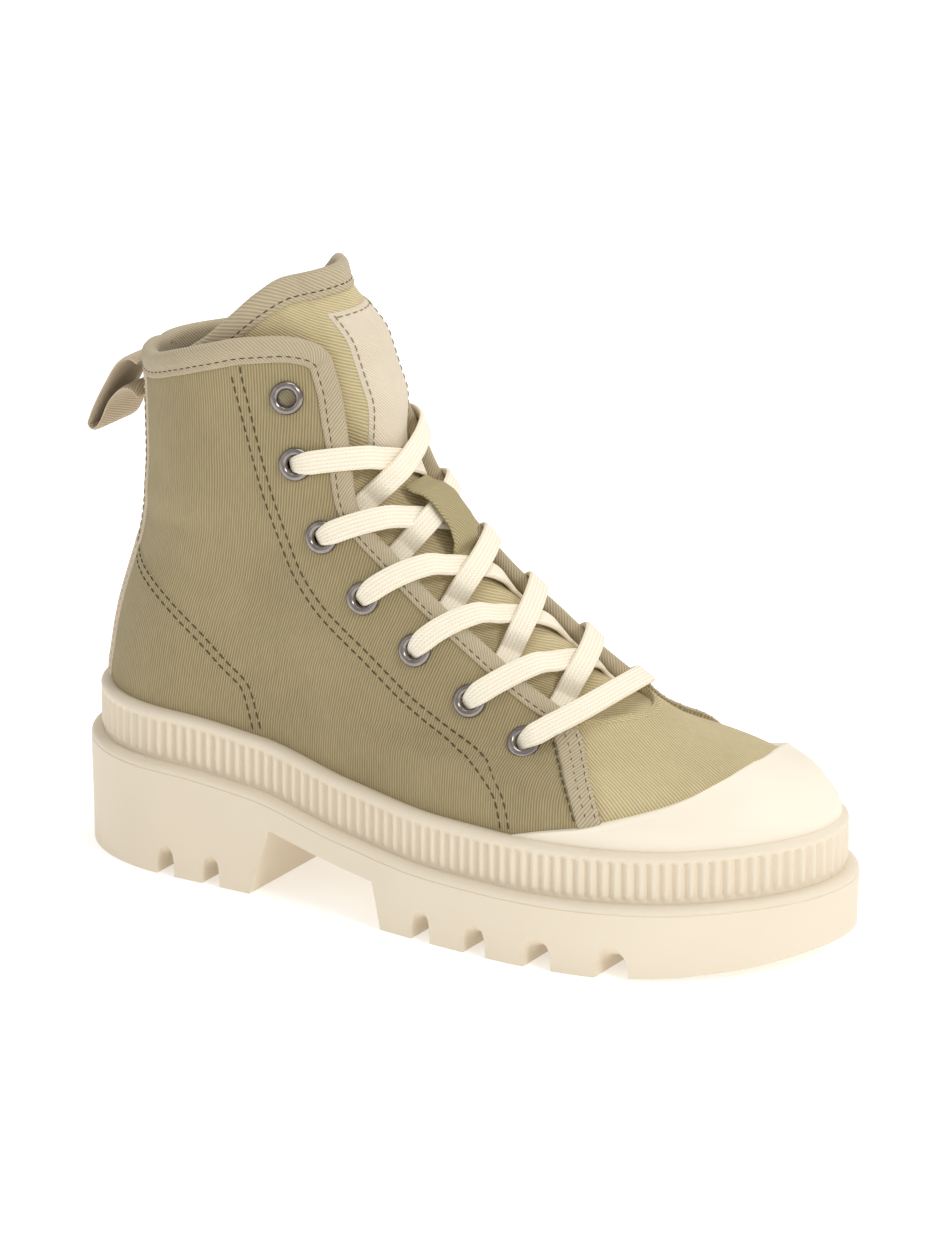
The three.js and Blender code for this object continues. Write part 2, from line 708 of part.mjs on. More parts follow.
function eyeletFrame({ along, height }, side) {
  const point = sidePoint(along * LAST_LENGTH, height * BOOT_HEIGHT, side, 0);
  const normal = outward(point, side);
  const turn = new THREE.Quaternion().setFromUnitVectors(new THREE.Vector3(0, 1, 0), normal);
  return { point, normal, turn };
}

function eyeletPunch(row, side) {
  const { point, turn } = eyeletFrame(row, side);
  const radius = EYELET_BARREL + CLEARANCE;
  const drill = new THREE.CylinderGeometry(radius, radius, 16, EYELET_SIDES);
  drill.applyQuaternion(turn).translate(point.x, point.y, point.z);
  return solidFrom(drill);
}

function upper() {
  const vamp = form(0);
  const quarters = form(QUARTER_FACE).intersect(behindQuarterFront(0)).subtract(capSpace(CLEARANCE));
  const shell = vamp.add(quarters).subtract(form(-WALL, FORM_MARGIN));
  const open = shell.subtract(openSpace(0)).subtract(belowDeck(CLEARANCE));
  const punches = eyeletPlaces.flatMap((row) => [eyeletPunch(row, LATERAL), eyeletPunch(row, MEDIAL)]);
  return punches.reduce((wall, punch) => wall.subtract(punch), open);
}

function insole() {
  const slab = belowDeck(CLEARANCE + INSOLE).subtract(belowDeck(CLEARANCE));
  return form(-WALL - CLEARANCE).intersect(slab);
}

function toeCap() {
  return layer(CLEARANCE, CLEARANCE + CAP_THICKNESS).intersect(capSpace(0)).subtract(belowBand(CLEARANCE));
}

// Tape folded over the collar and down both sides of the throat.
function edgeTape() {
  const sides = layer(TAPE_BACK, TAPE_FACE).intersect(openSpace(TAPE_WIDTH));
  const around = sides.subtract(openSpace(-CLEARANCE - TAPE));
  const fold = layer(-WALL - CLEARANCE, QUARTER_FACE + CLEARANCE).subtract(openSpace(-CLEARANCE));
  return around.subtract(fold).intersect(behindQuarterFront(CLEARANCE));
}

const half = (side) => {
  const outline = [at(-FAR, -TOP), at(FAR, -TOP), at(FAR, TOP), at(-FAR, TOP)];
  return side === LATERAL ? prism(outline, -WIDE, 0) : prism(outline, 0, WIDE);
};

// Tape sewn down the quarter's front edge, under the throat tape's end.
function frontStrap(side) {
  const band = layer(QUARTER_FACE + CLEARANCE, TAPE_FACE).intersect(strip(frontEdge, -STRAP_WIDTH, 0));
  const clear = openSpace(TAPE_WIDTH + CLEARANCE).add(capSpace(CLEARANCE)).add(belowBand(CLEARANCE));
  return band.intersect(half(side)).subtract(clear);
}

function backStay() {
  const front = backLine(0) + 40;
  const outline = [at(-FAR, -TOP), at(front, -TOP), at(front, TOP), at(-FAR, TOP)];
  const rear = prism(outline, -STAY_WIDTH / 2, STAY_WIDTH / 2);
  const tape = layer(QUARTER_FACE + CLEARANCE, TAPE_FACE).intersect(rear);
  return tape.subtract(openSpace(TAPE_WIDTH + CLEARANCE)).subtract(belowBand(CLEARANCE));
}

function tongueSpace(grow) {
  const side = placed(tongueSide);
  const top = shifted(placed(tongueTop), grow).reverse();
  const front = 0.3 * LAST_LENGTH;
  const ahead = [at(front, side[side.length - 1].y), at(front, 0.6 * BOOT_HEIGHT), at(FAR, TOP)];
  return prism([...side, ...ahead, ...top]);
}

// The tongue's material between two offsets of its own face.
function tongueLayer(inner, outer) {
  const face = form(-TONGUE_SINK + outer, 0, TONGUE_SWELL);
  return face.subtract(form(-TONGUE_SINK + inner, FORM_MARGIN, TONGUE_SWELL));
}

function tongue() {
  return tongueLayer(-TONGUE, 0).intersect(tongueSpace(0));
}

// Tape folded over the tongue's upper edge.
function tongueTape() {
  const top = placed(tongueTop);
  const around = tongueLayer(-TONGUE - CLEARANCE - TAPE, CLEARANCE + TAPE);
  const fold = tongueLayer(-TONGUE - CLEARANCE, CLEARANCE);
  const band = around.intersect(strip(top, -TAPE_WIDTH, CLEARANCE + TAPE));
  const inside = fold.intersect(under(shifted(top, CLEARANCE)));
  return band.intersect(tongueSpace(CLEARANCE + TAPE)).subtract(inside);
}

// A point of the tongue's face on the centre line, at a height, raised by a distance.
function tonguePoint(z, distance) {
  return facePoint(0.5, z, -TONGUE_SINK + TONGUE_SWELL + distance);
}

// A flat strip of constant section along a line of points, facing the way each normal points.
function ribbon(points, normals, width, thickness) {
  const rings = points.map((point, i) => {
    const before = points[Math.max(i - 1, 0)];
    const after = points[Math.min(i + 1, points.length - 1)];
    const run = after.clone().sub(before).normalize();
    const across = run.clone().cross(normals[i]).normalize().multiplyScalar(width / 2);
    const up = across.clone().cross(run).normalize().multiplyScalar(thickness / 2);
    return [
      point.clone().add(across).sub(up),
      point.clone().sub(across).sub(up),
      point.clone().sub(across).add(up),
      point.clone().add(across).add(up),
    ];
  });
  return skin(rings);
}

// Where the throat's edge crosses a height on one side, in turns.
function throatTurn(z) {
  const stations = edgeStations();
  const highest = Math.max(...stations.map((station) => station.z));
  const throat = stations.slice(stations.findIndex((station) => station.z === highest));
  const after = throat.findIndex((station) => station.z < z);
  const above = throat[after - 1];
  const below = throat[after];
  return THREE.MathUtils.mapLinear(z, above.z, below.z, above.turn, below.turn);
}

function eyeletTurn({ along, height }) {
  const z = height * BOOT_HEIGHT;
  const share = (along * LAST_LENGTH - backLine(z)) / (frontLine(z) - backLine(z));
  return { turn: Math.acos(1 - 2 * share) / (2 * Math.PI), z };
}

const LACE_FACE = TAPE_FACE + 1 + LACE_THICKNESS / 2; // lace's middle when it lies over the quarter
const LACE_UNDER = -WALL - TAPE - 1.1 - LACE_THICKNESS / 2; // and when it lies under it
const CROSS_LOW = -0.2; // middle of the lower lace where two cross
const CROSS_HIGH = 1.1;
const EDGE_ROOM = 0.022; // room a lace leaves where it comes off a quarter, in turns
const FAR_ROOM = 0.03; // and before it goes under the other one
const TUCK = 0.022; // how far a lace runs on under the quarter, in turns

// A lace laid through stations of turn, height and offset from the upper's face.
function laceThrough(stations) {
  const points = stations.map(([turn, z, offset]) => facePoint(turn, z, offset));
  const normals = points.map((point) => outward(point, point.y < centreLine(point.x) ? LATERAL : MEDIAL));
  return ribbon(points, normals, LACE_WIDTH, LACE_THICKNESS);
}

// The height at which the face at a turn meets a plane, searched about a guess.
function heightOnPlane(turn, guess, origin, across) {
  const miss = (z) => facePoint(turn, z, 0).sub(origin).dot(across);
  let low = guess - 30;
  let high = guess + 30;
  const rising = miss(high) > miss(low);
  for (let pass = 0; pass < 24; pass += 1) {
    const z = (low + high) / 2;
    if (miss(z) > 0 === rising) high = z;
    else low = z;
  }
  return (low + high) / 2;
}

// The height of the ridge's nearest point to a point inside the boot.
function nearestRidge(point) {
  const heights = Array.from({ length: 80 }, (_, i) => point.z - 6 + i / 2);
  const gap = (z) => (frontLine(z) - point.x) ** 2 + (z - point.z) ** 2;
  return heights.reduce((best, z) => (gap(z) < gap(best) ? z : best));
}

// A lace from an upper eyelet over one quarter, across the throat and under the other quarter's edge.
function crossingLace(upperRow, lowerRow, side, middleOffset) {
  const from = eyeletTurn(upperRow);
  const to = eyeletTurn(lowerRow);
  const entry = Math.max(THREE.MathUtils.lerp(from.z, to.z, 0.62), throatCorner.y + 3);
  const flip = (turn) => (side === LATERAL ? turn : 1 - turn);
  const farTurn = 1 - throatTurn(entry);
  const start = facePoint(flip(from.turn), from.z, 0);
  const end = facePoint(flip(farTurn), entry, 0);
  const share = (start.y - centreLine(start.x)) / (start.y - end.y);
  const ridgeZ = nearestRidge(start.clone().lerp(end, share));
  const ridge = facePoint(0.5, ridgeZ, 0);
  const across = end.clone().sub(start).cross(ridge.clone().sub(start)).normalize();
  const edgeTurn = throatTurn(THREE.MathUtils.lerp(from.z, ridgeZ, 0.5)) + EDGE_ROOM;
  const farEdge = farTurn - FAR_ROOM;
  const lerp = THREE.MathUtils.lerp;
  const stations = [
    [from.turn - 0.002, LACE_FACE + 0.3],
    [from.turn + 0.014, LACE_FACE + 0.3],
    [lerp(from.turn + 0.014, edgeTurn, 0.5), LACE_FACE + 0.3],
    [edgeTurn, LACE_FACE + 0.4],
    [lerp(edgeTurn, 0.5, 0.5), lerp(LACE_FACE, middleOffset, 0.6)],
    [0.5, middleOffset],
    [lerp(0.5, farEdge, 0.5), lerp(middleOffset, LACE_UNDER, 0.45)],
    [farEdge, LACE_UNDER],
    [farTurn + TUCK, LACE_UNDER],
  ];
  return laceThrough(
    stations.map(([turn, offset]) => [flip(turn), heightOnPlane(flip(turn), ridgeZ, start, across), offset]),
  );
}

function laceCross(number) {
  const upperRow = eyeletPlaces[number];
  const lowerRow = eyeletPlaces[number + 1];
  const under = crossingLace(upperRow, lowerRow, LATERAL, CROSS_LOW);
  const over = crossingLace(upperRow, lowerRow, MEDIAL, CROSS_HIGH);
  return under.add(over).subtract(form(-TONGUE_SINK + CLEARANCE, 0, TONGUE_SWELL));
}

function laceBar() {
  const { turn, z } = eyeletTurn(eyeletPlaces[eyeletPlaces.length - 1]);
  const start = facePoint(turn, z, 0);
  const end = facePoint(1 - turn, z, 0);
  const ridgeZ = nearestRidge(start.clone().lerp(end, 0.5));
  const across = end.clone().sub(start).cross(facePoint(0.5, ridgeZ, 0).sub(start)).normalize();
  const places = [0, 0.2, 0.4, 0.6, 0.8].map((share) => THREE.MathUtils.lerp(turn - 0.002, 0.5, share));
  const far = places.map((place) => 1 - place).reverse();
  const stops = [...places, 0.5, ...far];
  return laceThrough(
    stops.map((place) => [place, heightOnPlane(place, ridgeZ, start, across), LACE_FACE + 0.5]),
  );
}

// A canvas strap sewn to the tongue above and below one crossing, arched over the laces.
function keeper() {
  const bottomZ = KEEPER_BOTTOM * BOOT_HEIGHT;
  const topZ = KEEPER_TOP * BOOT_HEIGHT;
  const rise = [0, 0, 0.62, 1, 1, 0.62, 0, 0];
  const share = [0, 0.1, 0.2, 0.38, 0.62, 0.8, 0.9, 1];
  const points = rise.map((lift, i) => {
    const z = THREE.MathUtils.lerp(bottomZ, topZ, share[i]);
    return tonguePoint(z, 2 * CLEARANCE + KEEPER_THICKNESS / 2 + lift * KEEPER_ARCH);
  });
  return ribbon(points, points.map((point) => outward(point, LATERAL)), KEEPER_WIDTH, KEEPER_THICKNESS);
}

// A plain woven patch sewn to the tongue under its tape.
function patch() {
  const outline = placed(patchSide);
  const region = prism(outline, -PATCH_WIDTH / 2, PATCH_WIDTH / 2);
  return tongueLayer(CLEARANCE, CLEARANCE + PATCH_THICKNESS).intersect(region);
}

// A folded webbing loop sewn to the heel under the collar's tape.
function pullLoop() {
  const top = LOOP_TOP * BOOT_HEIGHT;
  const base = new THREE.Vector3(backLine(top) - TAPE_FACE - CLEARANCE, 0, top);
  const points = loopShape.map(({ out, down }) => base.clone().add(new THREE.Vector3(-out, 0, -down)));
  const rings = points.map((point, i) => {
    const before = points[Math.max(i - 1, 0)];
    const after = points[Math.min(i + 1, points.length - 1)];
    const run = after.clone().sub(before).normalize();
    const up = new THREE.Vector3(run.z, 0, -run.x).multiplyScalar(LOOP_THICKNESS / 2);
    const wide = new THREE.Vector3(0, LOOP_WIDTH / 2, 0);
    return [
      point.clone().add(wide).sub(up),
      point.clone().sub(wide).sub(up),
      point.clone().sub(wide).add(up),
      point.clone().add(wide).add(up),
    ];
  });
  return skin(rings);
}

// A turned ring through the quarter: a domed flange outside and a thin barrel.
function eyelet(row, side) {
  const { point, turn } = eyeletFrame(row, side);
  const base = QUARTER_FACE + CLEARANCE + 0.85;
  const section = [
    [EYELET_HOLE, -WALL - 0.6],
    [EYELET_BARREL, -WALL - 0.6],
    [EYELET_BARREL, base],
    [EYELET_FLANGE, base],
    [EYELET_FLANGE - 0.6, base + 0.8],
    [EYELET_HOLE, base + 0.8],
  ];
  const outline = [...section, section[0]].map(([radius, height]) => new THREE.Vector2(radius, height));
  const ring = new THREE.LatheGeometry(outline, EYELET_SIDES);
  ring.applyQuaternion(turn).translate(point.x, point.y, point.z);
  return solidFrom(ring);
}

// Parts

const twill = new THREE.MeshStandardMaterial({ color: 0xa69b6c, roughness: 0.95, metalness: 0 });
const tapeTwill = new THREE.MeshStandardMaterial({ color: 0xc9bb9a, roughness: 0.95, metalness: 0 });
const soleRubber = new THREE.MeshStandardMaterial({ color: 0xf1e2c8, roughness: 0.6, metalness: 0 });
const capRubber = new THREE.MeshStandardMaterial({ color: 0xf6e9d2, roughness: 0.55, metalness: 0 });
const footbed = new THREE.MeshStandardMaterial({ color: 0xb9a98a, roughness: 0.95, metalness: 0 });

const laceCotton = new THREE.MeshStandardMaterial({ color: 0xfbf1dc, roughness: 0.9, metalness: 0 });
const eyeletMetal = new THREE.MeshStandardMaterial({ color: 0x8b817c, roughness: 0.3, metalness: 1 });

const boot = new THREE.Group();

function addPart(name, solid, material) {
  const { vertProperties, triVerts } = solid.getMesh();
  const geometry = new THREE.BufferGeometry();
  geometry.setAttribute("position", new THREE.BufferAttribute(new Float32Array(vertProperties), 3));
  geometry.setIndex(new THREE.BufferAttribute(new Uint32Array(triVerts), 1));
  geometry.computeVertexNormals();
  const mesh = new THREE.Mesh(geometry, material);
  mesh.name = name;
  boot.add(mesh);
}

addPart("outsole", outsole(), soleRubber);
addPart("ribbed_band", ribbedBand(), soleRubber);
addPart("insole", insole(), footbed);
addPart("upper", upper(), twill);
addPart("toe_cap", toeCap(), capRubber);
addPart("tongue", tongue(), twill);
addPart("edge_tape", edgeTape(), tapeTwill);
addPart("front_strap_lateral", frontStrap(LATERAL), tapeTwill);
addPart("front_strap_medial", frontStrap(MEDIAL), tapeTwill);
addPart("back_stay", backStay(), tapeTwill);
addPart("tongue_tape", tongueTape(), tapeTwill);
addPart("tongue_patch", patch(), tapeTwill);
addPart("lace_keeper", keeper(), twill);
addPart("pull_loop", pullLoop(), tapeTwill);
eyeletPlaces.forEach((row, i) => {
  addPart(`eyelet_lateral_${i + 1}`, eyelet(row, LATERAL), eyeletMetal);
  addPart(`eyelet_medial_${i + 1}`, eyelet(row, MEDIAL), eyeletMetal);
});
addPart("lace_bar", laceBar(), laceCotton);
for (let i = FIRST_LACED; i < eyeletPlaces.length - 1; i += 1) {
  addPart(`lace_cross_${i - FIRST_LACED + 1}`, laceCross(i), laceCotton);
}

// The origin is under the middle of the whole boot.
boot.updateMatrixWorld(true);
const box = new THREE.Box3().setFromObject(boot);
const middle = box.getCenter(new THREE.Vector3());
boot.position.set(-middle.x, -middle.y, -box.min.z);
boot.updateMatrixWorld(true);

export default boot;
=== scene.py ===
# Dresses the lace-up canvas boot: twill upper, folded tapes, woven lace, gunmetal eyelets and cream moulded rubber.
# Shapes are worked out in millimetres on the same last as the solids, then moved into the row frame in metres.
import math

import bpy
import numpy as np
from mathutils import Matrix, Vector


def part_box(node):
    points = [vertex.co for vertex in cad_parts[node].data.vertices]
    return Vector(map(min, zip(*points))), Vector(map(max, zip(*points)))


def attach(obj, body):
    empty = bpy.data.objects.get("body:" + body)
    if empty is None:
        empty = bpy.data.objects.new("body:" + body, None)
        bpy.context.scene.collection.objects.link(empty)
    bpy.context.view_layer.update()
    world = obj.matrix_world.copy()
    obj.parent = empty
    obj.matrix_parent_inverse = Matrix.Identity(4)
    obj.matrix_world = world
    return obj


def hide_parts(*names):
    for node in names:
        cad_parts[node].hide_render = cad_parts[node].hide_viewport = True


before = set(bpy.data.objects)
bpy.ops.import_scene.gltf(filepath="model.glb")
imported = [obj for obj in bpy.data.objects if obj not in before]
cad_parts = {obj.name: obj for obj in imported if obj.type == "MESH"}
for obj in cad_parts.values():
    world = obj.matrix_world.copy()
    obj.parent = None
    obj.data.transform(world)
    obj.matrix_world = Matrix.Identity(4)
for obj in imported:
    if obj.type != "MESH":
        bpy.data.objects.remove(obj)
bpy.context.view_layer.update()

MM = 0.001
LATERAL = -1
MEDIAL = 1

# Main sizes, as in the solids
LAST_LENGTH = 258
BALL_WIDTH = 90
BOOT_HEIGHT = 212
HEEL_LIFT = 38.5
BAND_HEIGHT = 17
WAIST_THICKNESS = 11
TOE_SPRING = 9
WALL = 2
QUARTER_FACE = 1
TAPE_FACE = 2.1
TONGUE_SINK = 6.6
TONGUE_SWELL = 3.7
TONGUE_THICKNESS = 2.4
SWELL_REACH = 0.08
BAND_THICKNESS = 4
LEDGE = 4.5
LEDGE_BEVEL = 1.6
RIBS = 156
RIB_DEPTH = 1.1
RIB_HOLLOW = 0.55  # how much deeper the rubber sinks between the ribs
LIP = 3.9
LACE_WIDTH = 7.6
LACE_THICKNESS = 1.3
TAPE_WIDTH = 7
STRAP_WIDTH = 8
STAY_WIDTH = 35
LOOP_WIDTH = 24
PATCH_WIDTH = 24
KEEPER_WIDTH = 14
FRONT_POWER = 2.2
BACK_POWER = 2.1
SOLE_LENGTH = LAST_LENGTH + 2 * (BAND_THICKNESS + LEDGE)
OUTLINE_LEVEL = 0.225 * BOOT_HEIGHT
THROAT_FOOT = 0.345 * BOOT_HEIGHT


def table(columns, *rows):
    return dict(zip(columns.split(), np.array(rows, float).T))


# The last, as shares: along of LAST_LENGTH, height of BOOT_HEIGHT, half widths and centre of BALL_WIDTH
foot_plan = table(
    "along lateral medial centre",
    (-0.52, 0.36, 0.36, 0),
    (-0.39, 0.365, 0.36, 0),
    (-0.23, 0.37, 0.33, 0),
    (-0.08, 0.4, 0.31, -0.01),
    (0.08, 0.46, 0.4, 0),
    (0.2, 0.49, 0.47, 0.02),
    (0.31, 0.475, 0.46, 0.05),
    (0.42, 0.44, 0.42, 0.08),
    (0.51, 0.42, 0.4, 0.1),
)
levels = table(
    "height back front back_round front_round foot",
    (0.077, -0.505, 0.488, 0.16, 0.24, 1),
    (0.177, -0.514, 0.493, 0.16, 0.24, 1),
    (0.222, -0.517, 0.491, 0.16, 0.25, 1),
    (0.246, -0.517, 0.479, 0.16, 0.28, 0.97),
    (0.268, -0.517, 0.464, 0.16, 0.34, 0.93),
    (0.284, -0.516, 0.434, 0.16, 0.42, 0.88),
    (0.296, -0.514, 0.392, 0.16, 0.5, 0.84),
    (0.31, -0.512, 0.335, 0.16, 0.5, 0.8),
    (0.337, -0.508, 0.272, 0.16, 0.44, 0.7),
    (0.38, -0.5, 0.208, 0.16, 0.36, 0.55),
    (0.437, -0.485, 0.138, 0.16, 0.29, 0.35),
    (0.497, -0.469, 0.06, 0.16, 0.235, 0.15),
    (0.567, -0.459, -0.012, 0.16, 0.2, 0),
    (0.647, -0.455, -0.07, 0.16, 0.18, 0),
    (0.747, -0.457, -0.115, 0.165, 0.17, 0),
    (0.857, -0.462, -0.152, 0.165, 0.165, 0),
    (1.047, -0.478, -0.205, 0.15, 0.14, 0),
)
shaft = table(
    "height lateral medial",
    (0.077, 0.37, 0.37),
    (0.567, 0.37, 0.37),
    (0.647, 0.37, 0.365),
    (0.747, 0.37, 0.365),
    (0.857, 0.375, 0.37),
    (1.047, 0.385, 0.38),
)
# Lines of the side view
top_edge = table(
    "along height",
    (-0.53, 0.794),
    (-0.46, 0.798),
    (-0.415, 0.81),
    (-0.36, 0.833),
    (-0.31, 0.854),
    (-0.255, 0.872),
    (-0.215, 0.876),
    (-0.186, 0.867),
    (-0.168, 0.842),
    (-0.157, 0.805),
    (-0.143, 0.75),
    (-0.129, 0.692),
    (-0.106, 0.618),
    (-0.058, 0.56),
    (0.012, 0.49),
    (0.086, 0.43),
    (0.162, 0.37),
    (0.195, 0.35),
)
COLLAR_CORNER = 7  # row of the edge where the collar turns down into the throat
quarter_front = table(
    "along height",
    (0.195, 0.35),
    (0.227, 0.306),
    (0.2655, 0.264),
    (0.2845, 0.217),
    (0.2945, 0.165),
    (0.31, 0.057),
)
cap_edge = table(
    "along height",
    (0.1, 0.166),
    (0.15, 0.19),
    (0.2, 0.209),
    (0.26, 0.227),
    (0.32, 0.248),
    (0.36, 0.265),
    (0.4, 0.294),
    (0.42, 0.33),
)
tongue_side = table(
    "along height",
    (-0.375, 0.9),
    (-0.37, 0.84),
    (-0.31, 0.77),
    (-0.25, 0.69),
    (-0.185, 0.587),
    (-0.1, 0.487),
    (0, 0.407),
    (0.1, 0.342),
    (0.19, 0.307),
)
tongue_top = table(
    "along height",
    (-0.4, 0.795),
    (-0.372, 0.825),
    (-0.335, 0.852),
    (-0.29, 0.892),
    (-0.245, 0.937),
    (-0.21, 0.964),
    (-0.165, 0.974),
)
eyelet_places = table(
    "along height",
    (-0.202, 0.79),
    (-0.184, 0.691),
    (-0.142, 0.585),
    (-0.08, 0.501),
    (-0.005, 0.434),
    (0.073, 0.369),
    (0.15, 0.318),
)
facing_seam = table(
    "along height",
    (-0.276, 0.85),
    (-0.275, 0.833),
    (-0.262, 0.769),
    (-0.241, 0.685),
    (-0.222, 0.622),
    (-0.197, 0.555),
    (-0.182, 0.52),
    (-0.150, 0.472),
    (-0.073, 0.402),
    (-0.011, 0.347),
    (0.060, 0.3),
    (0.114, 0.268),
    (0.134, 0.238),
    (0.142, 0.2),
    (0.146, 0.15),
)
counter_seam = table(
    "along height",
    (-0.482, 0.505),
    (-0.437, 0.483),
    (-0.385, 0.455),
    (-0.332, 0.414),
    (-0.278, 0.362),
    (-0.245, 0.33),
    (-0.232, 0.286),
    (-0.223, 0.245),
    (-0.217, 0.2),
)
sole_line = table(
    "along ledge",
    (-0.5, 1),
    (-0.35, 1),
    (-0.22, 0.935),
    (-0.08, 0.745),
    (0.05, 0.64),
    (0.18, 0.63),
    (0.32, 0.65),
    (0.5, 0.76),
)
HEEL_BREAST = -0.218
BREAST_SLANT = 0.03
TREAD_START = -0.022
TREAD_SLANT = 0.012
SPRING_START = 0.27
grooves = table(
    "along width",
    (-0.338, 0.031),
    (-0.273, 0.031),
    (0.038, 0.033),
    (0.115, 0.038),
    (0.2, 0.043),
    (0.29, 0.047),
)
GROOVE_CEILING = 6.5
GROOVE_MOUTH = 11
GROOVE_FLARE = 6
LUG_DEPTH = 26
# The pull loop from its sewn end round its tip and back: out from the heel, down from LOOP_TOP, in millimetres
LOOP_TOP = 0.775 * BOOT_HEIGHT
loop_shape = table(
    "out down",
    (0.4, 0.6),
    (4, -0.5),
    (8, 2),
    (12, 8),
    (16, 15),
    (18.5, 20.5),
    (18.8, 22.5),
    (17, 23.5),
    (14.5, 21),
    (11, 14),
    (6.5, 9.5),
    (3, 9),
    (0.4, 11),
)


def curve(xs, ys):
    """A smooth curve through points which never overshoots them."""
    xs, ys = np.asarray(xs, float), np.asarray(ys, float)
    steps = np.diff(xs)
    slopes = np.diff(ys) / steps
    tangents = np.zeros(len(xs))
    tangents[0], tangents[-1] = slopes[0], slopes[-1]
    for i in range(1, len(xs) - 1):
        before, after = slopes[i - 1], slopes[i]
        if before * after > 0:
            w1 = 2 * steps[i] + steps[i - 1]
            w2 = steps[i] + 2 * steps[i - 1]
            tangents[i] = (w1 + w2) / (w1 / before + w2 / after)

    def at(x):
        x = np.clip(np.asarray(x, float), xs[0], xs[-1])
        i = np.clip(np.searchsorted(xs, x) - 1, 0, len(steps) - 1)
        t = (x - xs[i]) / steps[i]
        level = ys[i] * (1 + 2 * t) * (1 - t) ** 2 + ys[i + 1] * t * t * (3 - 2 * t)
        lean = tangents[i] * t * (1 - t) ** 2 + tangents[i + 1] * t * t * (t - 1)
        return level + lean * steps[i]

    return at


def plan_of(column):
    return curve(foot_plan["along"] * LAST_LENGTH, foot_plan[column] * BALL_WIDTH)


def level_of(column, size):
    return curve(levels["height"] * BOOT_HEIGHT, levels[column] * size)


def shaft_of(column):
    return curve(shaft["height"] * BOOT_HEIGHT, shaft[column] * BALL_WIDTH)


centre_line = plan_of("centre")
foot_lateral, foot_medial = plan_of("lateral"), plan_of("medial")
shaft_lateral, shaft_medial = shaft_of("lateral"), shaft_of("medial")
back_line, front_line = level_of("back", LAST_LENGTH), level_of("front", LAST_LENGTH)
back_round, front_round = level_of("back_round", LAST_LENGTH), level_of("front_round", LAST_LENGTH)
foot_share = level_of("foot", 1)
deck_line = curve(sole_line["along"] * SOLE_LENGTH, sole_line["ledge"] * HEEL_LIFT)


def band_top(x):
    return deck_line(x) + BAND_HEIGHT


def width_squared(x, z, side):
    foot = foot_share(z)
    outer = foot * foot_lateral(x) + (1 - foot) * shaft_lateral(z)
    inner = foot * foot_medial(x) + (1 - foot) * shaft_medial(z)
    body = np.where(side < 0, outer, inner)
    from_front = np.minimum((front_line(z) - x) / front_round(z), 1)
    from_back = np.minimum((x - back_line(z)) / back_round(z), 1)
    front = 1 - np.maximum(1 - from_front, 0) ** FRONT_POWER
    back = 1 - np.maximum(1 - from_back, 0) ** BACK_POWER
    return body * body * front * back


def half_width(x, z, side):
    return np.sqrt(np.maximum(width_squared(x, z, side), 0))


def unit(vectors):
    return vectors / np.maximum(np.linalg.norm(vectors, axis=-1, keepdims=True), 1e-12)


def outward(points, side):
    x, y, z = np.moveaxis(points, -1, 0)
    step = 0.2

    def depth(x, y, z):
        return (y - centre_line(x)) ** 2 - width_squared(x, z, side)

    slopes = (
        depth(x + step, y, z) - depth(x - step, y, z),
        depth(x, y + step, z) - depth(x, y - step, z),
        depth(x, y, z + step) - depth(x, y, z - step),
    )
    return unit(np.stack(slopes, -1))


def raised(points, side, offset):
    return points + outward(points, side) * np.asarray(offset, float)[..., None]


def face(turn, z, offset=0.0):
    """Points of the upper's face: turn goes round from the back by the outer side, 0 to 1."""
    turn, z, offset = np.broadcast_arrays(*(np.asarray(a, float) for a in (turn, z, offset)))
    angle = 2 * np.pi * turn
    side = np.where(np.sin(angle) >= 0, LATERAL, MEDIAL)
    x = back_line(z) + (front_line(z) - back_line(z)) * (1 - np.cos(angle)) / 2
    points = np.stack([x, centre_line(x) + side * half_width(x, z, side), z], -1)
    return raised(points, side, offset)


def face_normal(turn, z):
    side = np.where(np.sin(2 * np.pi * np.asarray(turn)) >= 0, LATERAL, MEDIAL)
    return outward(face(turn, z), side)


def turn_at(x, z):
    """How far round the section a place of the side view is, on the outer side."""
    share = (x - back_line(z)) / (front_line(z) - back_line(z))
    return np.arccos(1 - 2 * np.clip(share, 0, 1)) / (2 * np.pi)


def mirrored(turn, side):
    return turn if side == LATERAL else 1 - turn


# Distance up the ridge, which spaces rows evenly where the vamp runs nearly level
ridge_z = np.linspace(0.05 * BOOT_HEIGHT, 1.06 * BOOT_HEIGHT, 1500)
ridge_runs = np.hypot(np.diff(front_line(ridge_z)), np.diff(ridge_z))
ridge_s = np.concatenate([[0], np.cumsum(ridge_runs)])


def climb(z):
    return np.interp(z, ridge_z, ridge_s)


def height(s):
    return np.interp(s, ridge_s, ridge_z)


def side_line(rows, count, shift_x=0.0):
    """A line of the side view as evenly spaced x and z."""
    x, z = rows["along"] * LAST_LENGTH + shift_x, rows["height"] * BOOT_HEIGHT
    reach = np.concatenate([[0], np.cumsum(np.hypot(np.diff(x), np.diff(z)))])
    even = np.linspace(0, reach[-1], count)
    return curve(reach, x)(even), curve(reach, z)(even)


def edge_half(count):
    """The collar and throat edge from the back to the throat's foot: turns and heights, evenly spaced."""
    z = top_edge["height"][1:] * BOOT_HEIGHT
    turn = turn_at(top_edge["along"][1:] * LAST_LENGTH, z)
    turn = np.concatenate([[0], turn, [0.5]])
    z = np.concatenate([[top_edge["height"][0] * BOOT_HEIGHT], z, [THROAT_FOOT]])
    places = face(turn, z)
    reach = np.concatenate([[0], np.cumsum(np.linalg.norm(np.diff(places, axis=0), axis=1))])
    even = np.linspace(0, reach[-1], count)
    return curve(reach, turn)(even), curve(reach, z)(even), reach


